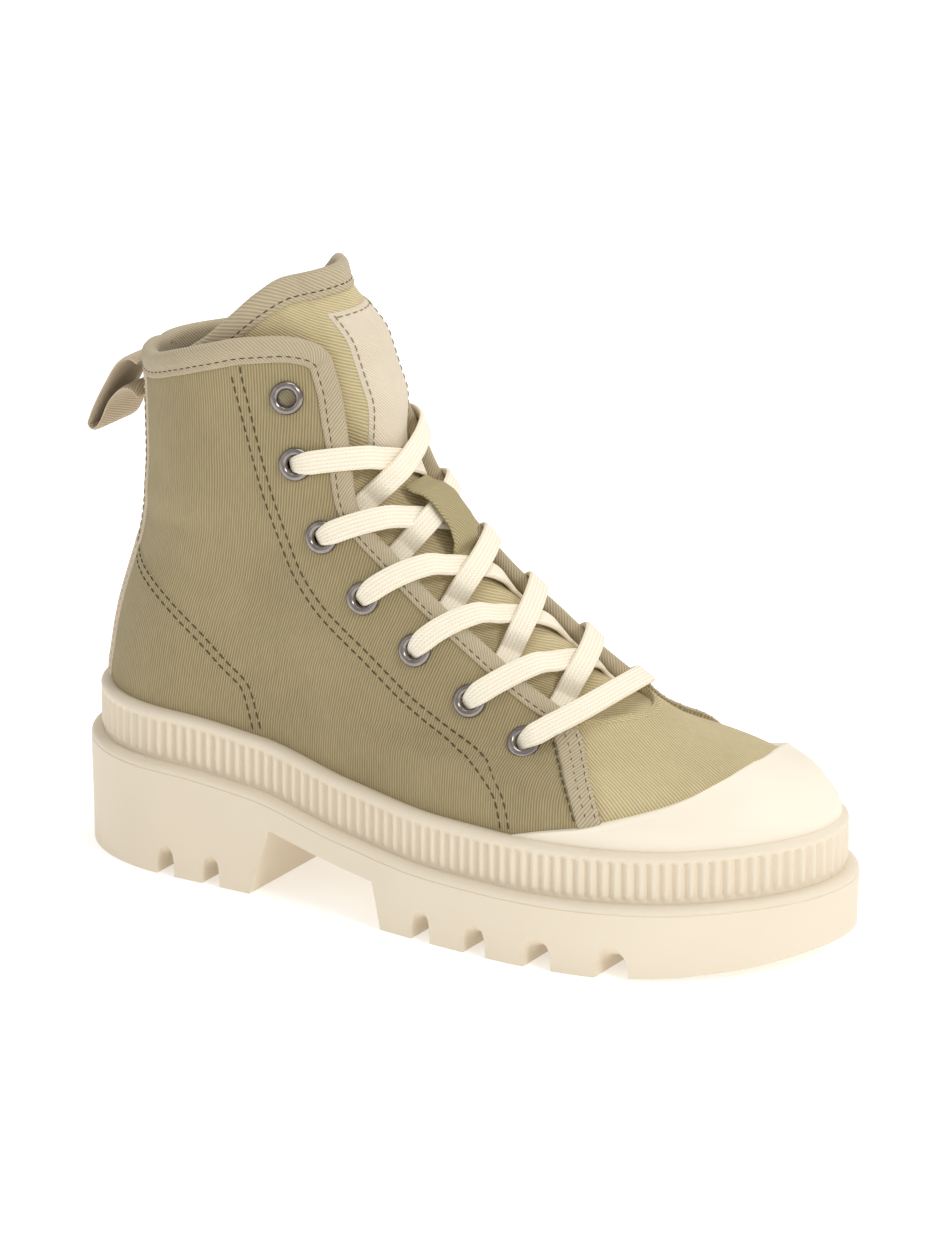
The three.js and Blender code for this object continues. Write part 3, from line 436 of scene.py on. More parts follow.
EDGE_COUNT = 420
edge_turn, edge_z, edge_reach = edge_half(EDGE_COUNT)
corner_index = int(round(edge_reach[COLLAR_CORNER] / edge_reach[-1] * (EDGE_COUNT - 1)))
throat_index = int(round(edge_reach[len(top_edge["along"]) - 1] / edge_reach[-1] * (EDGE_COUNT - 1)))


def outline(offset, count):
    """Points round the foot's outline moved outwards in plan, evenly spaced, with their outward directions."""
    ring = face(np.arange(1440) / 1440, OUTLINE_LEVEL)
    closed = np.vstack([ring, ring[:1]])
    reach = np.concatenate([[0], np.cumsum(np.linalg.norm(np.diff(closed, axis=0), axis=1))])
    even = np.arange(count) / count * reach[-1]
    points = np.stack([np.interp(even, reach, closed[:, k]) for k in range(3)], -1)
    run = np.roll(points, -1, 0) - np.roll(points, 1, 0)
    run[:, 2] = 0
    run = unit(run)
    out = np.stack([run[:, 1], -run[:, 0], np.zeros(count)], -1)
    return points + out * offset, out, reach[-1]


sole_ring = outline(BAND_THICKNESS + LEDGE, 720)[0]
sole_low, sole_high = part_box("outsole")
SHIFT = np.array(
    [
        (sole_low.x + sole_high.x) / 2 / MM - (sole_ring[:, 0].min() + sole_ring[:, 0].max()) / 2,
        (sole_low.y + sole_high.y) / 2 / MM - (sole_ring[:, 1].min() + sole_ring[:, 1].max()) / 2,
        0,
    ]
)


def in_row(points):
    return (np.asarray(points, float) + SHIFT) * MM


# Camera at the photograph's angle


def make_camera():
    azimuth, elevation = math.radians(31.5), math.radians(18.8)
    back = Vector(
        (
            math.sin(azimuth) * math.cos(elevation),
            -math.cos(azimuth) * math.cos(elevation),
            math.sin(elevation),
        )
    )
    data = bpy.data.cameras.new("camera")
    camera = bpy.data.objects.new("camera", data)
    bpy.context.scene.collection.objects.link(camera)
    distance = 2.5
    pixels_per_mm = 3.09
    image_height = 1234
    data.sensor_width = 36
    data.lens = pixels_per_mm * distance / MM / image_height * data.sensor_width
    data.shift_x = 3.5 / image_height
    data.shift_y = 12.4 / image_height
    data.clip_end = 20
    camera.location = Vector(in_row([0, 0, 90])) + back * distance
    camera.rotation_mode = "QUATERNION"
    camera.rotation_quaternion = (-back).to_track_quat("-Z", "Y")
    bpy.context.scene.camera = camera


make_camera()


def area_light(name, place, aim, size, power):
    data = bpy.data.lights.new(name, "AREA")
    data.shape = "DISK"
    data.size = size
    data.energy = power
    lamp = bpy.data.objects.new(name, data)
    bpy.context.scene.collection.objects.link(lamp)
    lamp.location = place
    lamp.rotation_mode = "QUATERNION"
    lamp.rotation_quaternion = (Vector(aim) - Vector(place)).to_track_quat("-Z", "Y")


def make_studio():
    area_light("key_light", (1.9, -0.55, 1.5), (0, 0, 0.08), 0.7, 17)
    area_light("fill_light", (-1.2, -1.7, 1.0), (0, 0, 0.08), 1.2, 2)
    area_light("top_light", (0.1, 0.5, 1.9), (0, 0, 0), 1.2, 12)
    bpy.context.scene.view_settings.view_transform = "Standard"
    world = bpy.data.worlds.new("studio")
    world.use_nodes = True
    world.node_tree.nodes["Background"].inputs["Color"].default_value = (1, 1, 1, 1)
    world.node_tree.nodes["Background"].inputs["Strength"].default_value = 0.6
    bpy.context.scene.world = world
    bpy.ops.object.select_all(action="DESELECT")
    bpy.ops.mesh.primitive_plane_add(size=12, location=(0, 0, -0.0002))
    floor = bpy.context.object
    floor.name = "floor"
    return floor


# Materials


class Field:
    """A socket that adds Math nodes when it is used in an expression."""

    def __init__(self, finish, socket):
        self.finish = finish
        self.socket = socket

    def math(self, operation, *others):
        return self.finish.maths(operation, self, *others)

    def __add__(self, other):
        return self.math("ADD", other)

    __radd__ = __add__

    def __sub__(self, other):
        return self.math("SUBTRACT", other)

    def __rsub__(self, other):
        return self.finish.maths("SUBTRACT", other, self)

    def __mul__(self, other):
        return self.math("MULTIPLY", other)

    __rmul__ = __mul__

    def __truediv__(self, other):
        return self.math("DIVIDE", other)

    def __pow__(self, other):
        return self.math("POWER", other)

    def wave(self):
        """A sine of this field in turns, from 0 to 1."""
        return self.finish.maths("SINE", self * (2 * math.pi)) * 0.5 + 0.5

    def clamp(self):
        return self.math("MINIMUM", 1.0).math("MAXIMUM", 0.0)


class Finish:
    """A material built from nodes round one Principled shader."""

    def __init__(self, name, **uniform):
        self.material = bpy.data.materials.new(name)
        self.material.use_nodes = True
        self.nodes = self.material.node_tree.nodes
        self.links = self.material.node_tree.links
        self.shader = self.nodes["Principled BSDF"]
        for key, value in uniform.items():
            self.shader.inputs[key.replace("_", " ").title().replace("Ior", "IOR")].default_value = value

    def node(self, kind, settings=None, **inputs):
        made = self.nodes.new(kind)
        for key, value in (settings or {}).items():
            setattr(made, key, value)
        for key, value in inputs.items():
            self.feed(made.inputs[key.replace("_", " ")], value)
        return made

    def feed(self, socket, value):
        if isinstance(value, Field):
            self.links.new(value.socket, socket)
        else:
            socket.default_value = value

    def maths(self, operation, *values):
        made = self.nodes.new("ShaderNodeMath")
        made.operation = operation
        for socket, value in zip(made.inputs, values):
            self.feed(socket, value)
        return Field(self, made.outputs[0])

    def cloth_uv(self):
        """Millimetres along and across the cloth."""
        made = self.node("ShaderNodeUVMap", {"uv_map": "cloth"})
        split = self.node("ShaderNodeSeparateXYZ", Vector=Field(self, made.outputs[0]))
        return Field(self, split.outputs[0]), Field(self, split.outputs[1])

    def place(self):
        return Field(self, self.node("ShaderNodeTexCoord").outputs["Object"])

    def noise(self, vector, scale, detail=2.0, roughness=0.5):
        made = self.node("ShaderNodeTexNoise", Vector=vector, Scale=scale, Detail=detail, Roughness=roughness)
        return Field(self, made.outputs["Fac"])

    def vector(self, x, y, z=0.0):
        made = self.nodes.new("ShaderNodeCombineXYZ")
        for socket, value in zip(made.inputs, (x, y, z)):
            self.feed(socket, value)
        return Field(self, made.outputs[0])

    def mix(self, factor, first, second):
        made = self.node("ShaderNodeMix", {"data_type": "RGBA"})
        self.feed(made.inputs["Factor"], factor)
        self.feed(made.inputs[6], first)
        self.feed(made.inputs[7], second)
        return Field(self, made.outputs[2])

    def bump(self, height, distance, strength=1.0):
        made = self.node("ShaderNodeBump", Strength=strength, Distance=distance, Height=height)
        self.links.new(made.outputs[0], self.shader.inputs["Normal"])

    def colour(self, value):
        self.feed(self.shader.inputs["Base Color"], value)

    def roughness(self, value):
        self.feed(self.shader.inputs["Roughness"], value)


def linear(red, green, blue):
    """A colour given as screen values from 0 to 255."""

    def one(value):
        share = value / 255
        return share / 12.92 if share <= 0.04045 else ((share + 0.055) / 1.055) ** 2.4

    return (one(red), one(green), one(blue), 1.0)


def twill_cloth(name, light, dark, pitch, lean, depth, tilt=0.0):
    """Twill: raised cords that lean across the cloth, each broken into short floats."""
    finish = Finish(name, roughness=0.92, sheen_weight=0.12, sheen_roughness=0.5, specular_ior_level=0.2)
    u, v = finish.cloth_uv()
    drift = finish.noise(finish.vector(u * 0.05, v * 0.05), 1.0, 2.0)
    along = u * math.cos(lean) + v * math.sin(lean) + drift * 1.2
    across = v * math.cos(lean) - u * math.sin(lean)
    cord = (along / pitch).wave()
    floats = (across / (pitch * 0.75) + along / pitch * 0.5).wave()
    slub = finish.noise(finish.vector(along * (1.1 / pitch), across * 0.22), 1.0, 2.0)
    fibre = finish.noise(finish.vector(u * 5.0, v * 5.0), 1.0, 3.0, 0.7)
    patch = finish.noise(finish.place(), 22.0, 3.0, 0.55)
    relief = cord * 0.75 + floats * 0.12 + slub * 0.35 + fibre * 0.15
    shade = (relief * 0.75 + patch * 0.55 - 0.2).clamp()
    finish.colour(finish.mix(shade, dark, light))
    finish.roughness(fibre * 0.12 + 0.84)
    finish.bump(relief, depth * MM, 0.8)
    return finish.material


def woven_lace(name, light, dark):
    """Flat braid: two sets of slanted plaits that meet along the middle."""
    finish = Finish(name, roughness=0.85, sheen_weight=0.15, sheen_roughness=0.5, specular_ior_level=0.2)
    u, v = finish.cloth_uv()
    rows = (v / 1.25).wave()
    plait = ((u + v.math("ABSOLUTE") * 0.9) / 1.15).wave()
    fibre = finish.noise(finish.vector(u * 1.2, v * 6.0), 1.0, 3.0, 0.7)
    relief = rows * 0.55 + plait * 0.35 + fibre * 0.2
    finish.colour(finish.mix((relief * 0.8 + 0.15).clamp(), dark, light))
    finish.bump(relief, 0.22 * MM, 0.8)
    return finish.material


def moulded_rubber(name, light, dark, roughness, grain):
    finish = Finish(name, roughness=roughness, specular_ior_level=0.35)
    place = finish.place()
    cloud = finish.noise(place, 14.0, 3.0, 0.6)
    speckle = finish.noise(place, 900.0, 2.0, 0.6)
    scuff = finish.noise(place, 160.0, 4.0, 0.7)
    finish.colour(finish.mix((cloud * 1.3 - 0.2 + speckle * 0.15).clamp(), dark, light))
    finish.roughness(scuff * 0.16 + (roughness - 0.08))
    finish.bump(speckle * 0.5 + scuff * 0.5, grain * MM, 0.5)
    return finish.material


def gunmetal():
    finish = Finish("gunmetal", roughness=0.28, metallic=1.0)
    place = finish.place()
    worn = finish.noise(place, 420.0, 3.0, 0.6)
    finish.colour(finish.mix(worn, linear(118, 110, 107), linear(170, 162, 157)))
    finish.roughness(worn * 0.15 + 0.16)
    finish.bump(worn, 0.03 * MM, 0.4)
    return finish.material


def sewing_thread(name, light, dark):
    finish = Finish(name, roughness=0.7, specular_ior_level=0.3)
    place = finish.place()
    ply = finish.noise(place, 2600.0, 2.0, 0.5)
    finish.colour(finish.mix(ply, dark, light))
    finish.bump(ply, 0.08 * MM, 0.6)
    return finish.material


def plain_floor():
    finish = Finish("pale_floor", roughness=0.6, specular_ior_level=0.1, emission_color=(1, 1, 1, 1))
    finish.shader.inputs["Emission Strength"].default_value = 0.38
    finish.colour((0.97, 0.97, 0.97, 1.0))
    return finish.material


canvas = twill_cloth("olive_twill", linear(184, 168, 127), linear(115, 101, 71), 0.95, 0.0, 0.28)
# The vamp's twill is the olive twill made lighter, as painted light for the light that falls on the upward-facing
# vamp, tongue and hem; its cords lean at 66 degrees.
vamp_canvas_painted_lit = twill_cloth("vamp_twill_painted_lit", linear(224, 207, 163), linear(154, 138, 100), 0.95, math.radians(66), 0.28)
strap_canvas = twill_cloth("keeper_twill", linear(192, 177, 134), linear(122, 109, 76), 0.9, math.radians(50), 0.2)
tape_twill = twill_cloth("beige_tape", linear(203, 188, 159), linear(146, 131, 103), 0.9, math.radians(45), 0.2)
label_twill = twill_cloth("woven_label", linear(232, 219, 197), linear(192, 177, 152), 0.7, math.radians(45), 0.12)
webbing = twill_cloth("loop_webbing", linear(224, 208, 182), linear(176, 158, 130), 0.9, math.radians(20), 0.25)
lining_cloth = twill_cloth("inner_lining", linear(196, 184, 152), linear(140, 128, 98), 0.9, math.radians(45), 0.15)
lace_braid = woven_lace("lace_braid", linear(255, 248, 230), linear(228, 212, 182))
sole_rubber = moulded_rubber("sole_rubber", linear(231, 219, 198), linear(222, 208, 185), 0.55, 0.03)
cap_rubber = moulded_rubber("cap_rubber", linear(243, 234, 216), linear(237, 225, 204), 0.5, 0.03)
eyelet_metal = gunmetal()
dark_thread = sewing_thread("olive_thread", linear(96, 86, 56), linear(52, 46, 28))
pale_thread = sewing_thread("beige_thread", linear(170, 156, 120), linear(110, 98, 68))


# Meshes


def link_mesh(name, points, faces, uv, material, slot_name, smooth_angle=None):
    mesh = bpy.data.meshes.new(name)
    mesh.from_pydata(np.asarray(points).tolist(), [], faces)
    mesh.update()
    if uv is not None:
        layer = mesh.uv_layers.new(name="cloth")
        layer.data.foreach_set("uv", np.asarray(uv, np.float32).ravel())
    piece = bpy.data.objects.new(name, mesh)
    bpy.context.scene.collection.objects.link(piece)
    mesh.materials.append(material)
    mesh.shade_smooth()
    if smooth_angle is not None:
        bpy.ops.object.select_all(action="DESELECT")
        piece.select_set(True)
        bpy.context.view_layer.objects.active = piece
        bpy.ops.object.shade_smooth_by_angle(angle=math.radians(smooth_angle))
    piece["slot_name"] = slot_name
    return piece


def volume_of(points, faces):
    triangles = [(f[0], b, c) for f in faces for b, c in zip(f[1:-1], f[2:])]
    a, b, c = np.moveaxis(points[np.array(triangles)], 1, 0)
    return np.einsum("ij,ij->", a, np.cross(b, c))


def shell(name, outer, inner, uv, material, slot_name, closed=False, smooth_angle=50):
    """A closed layer between two grids of points; closed joins its last row to its first."""
    rows, cols = outer.shape[:2]
    points = in_row(np.concatenate([outer.reshape(-1, 3), inner.reshape(-1, 3)]))
    under = rows * cols
    uv_points = uv.reshape(uv.shape[0], cols, 2)
    faces, corners_uv = [], []

    def vertex(r, c, low):
        return (r % rows) * cols + c + (under if low else 0)

    def add(corners):
        faces.append([vertex(*corner) for corner in corners])
        corners_uv.extend(uv_points[min(corner[0], len(uv_points) - 1), corner[1]] for corner in corners)

    last = rows if closed else rows - 1
    for r in range(last):
        for c in range(cols - 1):
            add([(r, c, 0), (r + 1, c, 0), (r + 1, c + 1, 0), (r, c + 1, 0)])
            add([(r, c, 1), (r, c + 1, 1), (r + 1, c + 1, 1), (r + 1, c, 1)])
        for c, turned in ((0, False), (cols - 1, True)):
            ring = [(r, c, 0), (r, c, 1), (r + 1, c, 1), (r + 1, c, 0)]
            add(ring[::-1] if turned else ring)
    if not closed:
        for c in range(cols - 1):
            add([(0, c, 0), (0, c + 1, 0), (0, c + 1, 1), (0, c, 1)])
            add([(rows - 1, c, 1), (rows - 1, c + 1, 1), (rows - 1, c + 1, 0), (rows - 1, c, 0)])
    uv_array = np.array(corners_uv)
    if volume_of(points, faces) < 0:
        start = 0
        turned_uv = []
        for corners in faces:
            stop = start + len(corners)
            turned_uv.extend(uv_array[start:stop][::-1])
            corners.reverse()
            start = stop
        uv_array = np.array(turned_uv)
    return link_mesh(name, points, faces, uv_array, material, slot_name, smooth_angle)


def hoop(name, rings, uv, material, slot_name, closed=False, smooth_angle=50):
    """A solid whose section rings follow each other; the section itself is closed."""
    rows, cols = rings.shape[:2]
    points = in_row(rings.reshape(-1, 3))
    faces, corners_uv = [], []
    last = rows if closed else rows - 1
    for r in range(last):
        for c in range(cols):
            corners = [(r, c), (r + 1, c), (r + 1, c + 1), (r, c + 1)]
            faces.append([(i % rows) * cols + k % cols for i, k in corners])
            corners_uv.extend(uv[min(i, len(uv) - 1), k] for i, k in corners)
    if not closed:
        for r, order in ((0, range(cols)), (rows - 1, reversed(range(cols)))):
            ring = list(order)
            faces.append([r * cols + k for k in ring])
            corners_uv.extend(uv[r, k] for k in ring)
    uv_array = np.array(corners_uv)
    if volume_of(points, faces) < 0:
        start = 0
        turned_uv = []
        for corners in faces:
            stop = start + len(corners)
            turned_uv.extend(uv_array[start:stop][::-1])
            corners.reverse()
            start = stop
        uv_array = np.array(turned_uv)
    return link_mesh(name, points, faces, uv_array, material, slot_name, smooth_angle)


def settled(piece, *nodes):
    """Rides on the boot and hides the solids it stands for."""
    if nodes:
        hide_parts(*nodes)
    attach(piece, "root")
    return piece


# Cloth coordinates: round the section from the back, and up

arc_turns = np.linspace(0, 1, 401)
arc_heights = np.linspace(0.05 * BOOT_HEIGHT, 1.05 * BOOT_HEIGHT, 120)
arc_places = face(arc_turns[None, :], arc_heights[:, None])
arc_steps = np.linalg.norm(np.diff(arc_places, axis=1), axis=2)
arc_table = np.concatenate([np.zeros((len(arc_heights), 1)), np.cumsum(arc_steps, axis=1)], axis=1)


def arc(turn, z):
    """Distance round the section from the back to a turn."""
    row = np.interp(z, arc_heights, np.arange(len(arc_heights)))
    low = np.floor(row).astype(int)
    high = np.minimum(low + 1, len(arc_heights) - 1)
    col = np.asarray(turn) * (len(arc_turns) - 1)
    left = np.clip(np.floor(col).astype(int), 0, len(arc_turns) - 2)
    fr, fc = row - low, col - left

    def row_value(r):
        return arc_table[r, left] * (1 - fc) + arc_table[r, left + 1] * fc

    return row_value(low) * (1 - fr) + row_value(high) * fr


def bump_on(x, z, place, reach, lean, depth):
    """A soft ridge or trough on the side view: place and reach in millimetres, lean in degrees from level."""
    angle = math.radians(lean)
    dx, dz = x - place[0], z - place[1]
    along = (dx * math.cos(angle) + dz * math.sin(angle)) / reach[0]
    across = (dz * math.cos(angle) - dx * math.sin(angle)) / reach[1]
    return depth * np.exp(-(along**2) - across**2)


# Soft creases of the shaft: place, reach, lean and depth
creases = [
    ((-98, 118), (26, 5), 8, -0.9),
    ((-92, 128), (24, 6), 14, 0.5),
    ((-88, 104), (22, 5), -12, -0.6),
    ((-70, 92), (26, 7), -30, 0.5),
    ((-60, 110), (18, 8), 60, -0.45),
    ((-48, 74), (30, 7), -38, -0.5),
    ((-20, 66), (26, 8), -30, 0.5),
    ((-84, 142), (20, 9), 78, 0.4),
    ((-66, 150), (24, 7), 80, -0.35),
    ((20, 56), (26, 7), -18, -0.4),
]


def smooth_step(value):
    value = np.clip(value, 0, 1)
    return value * value * (3 - 2 * value)


def left_of(line, x, z):
    """Signed distance of places of the side view from a line: positive in front of it or above it."""
    lx, lz = line
    flat = np.stack([np.ravel(x), np.ravel(z)], -1)
    starts = np.stack([lx[:-1], lz[:-1]], -1)
    runs = np.stack([np.diff(lx), np.diff(lz)], -1)
    lengths = (runs**2).sum(-1)
    best = np.full(len(flat), 1e9)
    signed = np.zeros(len(flat))
    for start, run, length in zip(starts, runs, lengths):
        rel = flat - start
        share = np.clip(rel @ run / length, 0, 1)
        off = rel - share[:, None] * run
        distance = np.linalg.norm(off, axis=1)
        cross = run[0] * rel[:, 1] - run[1] * rel[:, 0]
        nearer = distance < best
        best = np.where(nearer, distance, best)
        signed = np.where(nearer, np.sign(cross) * distance, signed)
    return signed.reshape(np.shape(x))


def drawn_back(points, amount=3.2):
    """Lets the inner side's top corner lie further back, where the tongue hides it from the front."""
    x, y, z = np.moveaxis(points, -1, 0)
    high = smooth_step((z / BOOT_HEIGHT - 0.64) / 0.16)
    ahead = smooth_step((x - front_line(z) + 46) / 34)
    inner = smooth_step((y - centre_line(x) - 2) / 8)
    moved = points.copy()
    moved[..., 0] = x - amount * high * ahead * inner
    return moved


facing_line = side_line(facing_seam, 60)
counter_line = side_line(counter_seam, 40)
LAYER_STEP = 0.35  # how far the facing and the counter stand over the quarter


def cloth_relief(turn, z):
    """How far the quarter's face stands over its plain form: creases, and the facing and counter layers."""
    x = face(turn, z)[..., 0]
    relief = np.zeros_like(x)
    for place, reach, lean, depth in creases:
        relief += bump_on(x, z, place, reach, lean, depth)
    relief *= smooth_step((z - band_top(x) - 2) / 14)
    facing = smooth_step((left_of(facing_line, x, z) + 0.4) / 0.8)
    counter = smooth_step((0.4 - left_of(counter_line, x, z)) / 0.8)
    return relief + LAYER_STEP * (facing + counter)


# The upper


def bottom_row(turn, lift):
    """Height of a level line a little over the deck, found for each turn."""
    z = np.full_like(turn, 40.0)
    for _ in range(12):
        z = deck_line(face(turn, z)[..., 0]) + lift
    return z


def patch_between(bottom, top, left, right, rows, cols):
    """Turns and heights of a grid inside four edges, each given as (turn, climb) for shares from 0 to 1."""
    u = np.linspace(0, 1, cols)[None, :, None]
    v = np.linspace(0, 1, rows)[:, None, None]
    low, high = bottom(u[0, :, 0])[None], top(u[0, :, 0])[None]
    near, far = left(v[:, 0, 0])[:, None], right(v[:, 0, 0])[:, None]
    corners = (
        (1 - u) * (1 - v) * low[:, :1]
        + u * (1 - v) * low[:, -1:]
        + (1 - u) * v * high[:, :1]
        + u * v * high[:, -1:]
    )
    grid = (1 - v) * low + v * high + (1 - u) * near + u * far - corners
    return grid[..., 0], height(grid[..., 1])


def edge_path(turn, z):
    """An edge as a function of a share, even in climb, from a path that goes steadily up."""
    s = climb(z)
    order = np.argsort(s)
    s, turn = s[order], turn[order]
    return lambda share: np.stack(
        [np.interp(s[0] + (s[-1] - s[0]) * share, s, turn), s[0] + (s[-1] - s[0]) * share], -1
    )


BOTTOM_LIFT = 9  # the cloth's lower edge is hidden this far over the deck, behind the band
FRONT_OVERLAP = 5


def front_path(back_by):
    """Turns and heights of the quarter's front edge from the sole up to the throat's corner."""
    x, z = side_line(quarter_front, 80, -back_by)
    x, z = x[::-1], z[::-1]
    keep = z > bottom_row(turn_at(x, z), BOTTOM_LIFT) - 0.5
    return turn_at(x[keep], z[keep]), z[keep]


def quarter_grid(rows, cols):
    front_turn, front_z = front_path(0)
    throat_turn = edge_turn[corner_index : throat_index + 1][::-1]
    throat_z = edge_z[corner_index : throat_index + 1][::-1]
    right = edge_path(np.concatenate([front_turn, throat_turn[1:]]), np.concatenate([front_z, throat_z[1:]]))
    foot_turn = right(np.array([0.0]))[0, 0]

    def bottom(share):
        turn = share * foot_turn
        return np.stack([turn, climb(bottom_row(turn, BOTTOM_LIFT))], -1)

    collar_turn, collar_z = edge_turn[: corner_index + 1], edge_z[: corner_index + 1]

    def top(share):
        turn = share * collar_turn[-1]
        return np.stack([turn, climb(np.interp(turn, collar_turn, collar_z))], -1)

    low = bottom(np.array([0.0]))[0]
    high = top(np.array([0.0]))[0]

    def left(share):
        return np.stack([np.zeros_like(share), low[1] + (high[1] - low[1]) * share], -1)

    return patch_between(bottom, top, left, right, rows, cols)


def vamp_grid(rows, cols):
    path = edge_path(*front_path(FRONT_OVERLAP))
    low_turn = path(np.array([0.0]))[0, 0]
    high_turn, high_s = path(np.array([1.0]))[0]

    def bottom(share):
        turn = low_turn + (1 - 2 * low_turn) * share
        return np.stack([turn, climb(bottom_row(turn, BOTTOM_LIFT))], -1)

    def top(share):
        turn = high_turn + (1 - 2 * high_turn) * share
        foot = climb(THROAT_FOOT)
        return np.stack([turn, foot + (high_s - foot) * np.abs(2 * share - 1) ** 2.0 + 2.0], -1)

    def left(share):
        return path(share) + np.stack([0 * share, 2.0 * share], -1)

    def right(share):
        edge = left(share)
        return np.stack([1 - edge[:, 0], edge[:, 1]], -1)

    return patch_between(bottom, top, left, right, rows, cols)


def make_upper():
    turn, z = quarter_grid(150, 150)
    relief = cloth_relief(turn, z)
    pieces = []
    for side, name in ((LATERAL, "quarter_lateral"), (MEDIAL, "quarter_medial")):
        there = mirrored(turn, side)
        around = arc(there, z) if side == LATERAL else arc_total(z) - arc(there, z)
        uv = np.stack([around, z], -1)
        outer = drawn_back(face(there, z, QUARTER_FACE + relief))
        inner = drawn_back(face(there, z, QUARTER_FACE - 1.4))
        quarter = shell(name, outer, inner, uv, canvas, "canvas")
        outer, inner = drawn_back(face(there, z, -0.5)), drawn_back(face(there, z, -WALL))
        lining = shell(name + "_lining", outer, inner, uv, lining_cloth, "canvas")
        for layer in (quarter, lining):
            subtract(layer, [eyelet_holes(side, 0 if layer is quarter else 1)])
            pieces.append(layer)
    turn, z = vamp_grid(90, 140)
    places = face(turn, z)
    crown = np.interp(places[..., 0], front_line(ridge_z)[::-1], ridge_z[::-1])
    girth = np.hypot(places[..., 1] - centre_line(places[..., 0]), crown - z)
    uv = np.stack([places[..., 0], np.where(turn < 0.5, -girth, girth)], -1)
    # The vamp takes the lighter twill, painted lighter for the light from above.
    pieces.append(shell("vamp", places, face(turn, z, -1.2), uv, vamp_canvas_painted_lit, "canvas"))
    pieces.append(shell("vamp_lining", face(turn, z, -1.25), face(turn, z, -WALL), uv, lining_cloth, "canvas"))
    settled(pieces[0], "upper")
    for piece in pieces[1:]:
        settled(piece)
    return pieces


def eyelet_frame(index, side):
    """An eyelet's place on the face, the way out and two directions across it."""
    turn, z = eyelet_turn(index)
    there = mirrored(turn, side)
    point, out = drawn_back(face(there, z)), face_normal(there, z)
    first = unit(np.cross(out, [0, 0, 1.0]))
    return point, out, first, np.cross(out, first)


def eyelet_holes(side, first_row):
    """The holes of one side as one cutting mesh; the lining shows through the empty top eyelet."""
    angles = np.linspace(0, 2 * np.pi, 28, endpoint=False)
    points, faces = [], []
    for index in range(first_row, len(eyelet_places["along"])):
        point, out, first, second = eyelet_frame(index, side)
        circle = 3.05 * (np.cos(angles)[:, None] * first + np.sin(angles)[:, None] * second)
        base = len(points)
        count = len(angles)
        points.extend(point + circle - 7 * out)
        points.extend(point + circle + 7 * out)
        for i in range(count):
            j = (i + 1) % count
            faces.append([base + i, base + j, base + count + j, base + count + i])
        faces.append([base + i for i in reversed(range(count))])
        faces.append([base + count + i for i in range(count)])
    points = in_row(np.array(points))
    if volume_of(points, faces) < 0:
        for corners in faces:
            corners.reverse()
    return link_mesh("holes", points, faces, None, canvas, "canvas")


def arc_total(z):
    return arc(np.ones_like(z), z)


# Tapes


def settle(points, passes=4):
    """Moves points back onto the upper's face."""
    for _ in range(passes):
        side = np.where(points[..., 1] < centre_line(points[..., 0]), LATERAL, MEDIAL)
        x, y, z = np.moveaxis(points, -1, 0)
        step = 0.2

        def depth(x, y, z):
            return (y - centre_line(x)) ** 2 - width_squared(x, z, side)

        slope = np.stack(
            [
                depth(x + step, y, z) - depth(x - step, y, z),
                depth(x, y + step, z) - depth(x, y - step, z),
                depth(x, y, z + step) - depth(x, y, z - step),
            ],
            -1,
        ) / (2 * step)
        points = points - slope * (depth(x, y, z) / np.maximum((slope**2).sum(-1), 1e-9))[..., None]
    return points


def loop_smooth(vectors, passes):
    for _ in range(passes):
        vectors = unit(np.roll(vectors, 1, 0) + 2 * vectors + np.roll(vectors, -1, 0))
    return vectors


def edge_loop(count):
    """The whole collar and throat edge: points, outward directions and directions down the face."""
    picks = np.linspace(0, EDGE_COUNT - 1, count).round().astype(int)
    turn = np.concatenate([edge_turn[picks], 1 - edge_turn[picks][-2:0:-1]])
    z = np.concatenate([edge_z[picks], edge_z[picks][-2:0:-1]])
    points = face(turn, z)
    run = unit(np.roll(points, -1, 0) - np.roll(points, 1, 0))
    out = face_normal(turn, z)
    down = loop_smooth(unit(np.cross(run, out)), 3)
    return points, out, down


def side_of(points):
    return np.where(points[..., 1] < centre_line(points[..., 0]), LATERAL, MEDIAL)


def down_face(points, down, distance, offset):
    moved = settle(points + down * distance)
    return raised(moved, side_of(moved), np.full(len(moved), float(offset)))


# Section of the folded tape: distance down the face and height over it, round the section
tape_section = [
    (TAPE_WIDTH, 1.35),
    (TAPE_WIDTH, 1.9),
    (TAPE_WIDTH - 0.5, 2.25),
    (5.8, 2.3),
    (5.0, 2.05),
    (4.2, 2.35),
    (2.6, 2.5),
    (1.0, 2.4),
    (-0.2, 2.1),
    (-1.0, 1.3),
    (-1.3, 0.1),
    (-1.3, -1.2),
    (-0.9, -2.2),
    (0.0, -2.9),
    (1.2, -3.2),
    (4.5, -3.2),
    (TAPE_WIDTH - 0.4, -3.1),
    (TAPE_WIDTH, -2.6),
    (TAPE_WIDTH, -2.1),
    (4.0, -2.1),
    (0.4, -2.1),
    (0.0, -0.5),
    (0.4, 1.35),
    (4.0, 1.35),
]


def tape_share(z):
    """How wide the tape lies: full at the collar, narrower down the throat."""
    return np.interp(z, [0.6 * BOOT_HEIGHT, 0.76 * BOOT_HEIGHT], [0.74, 1])[:, None]


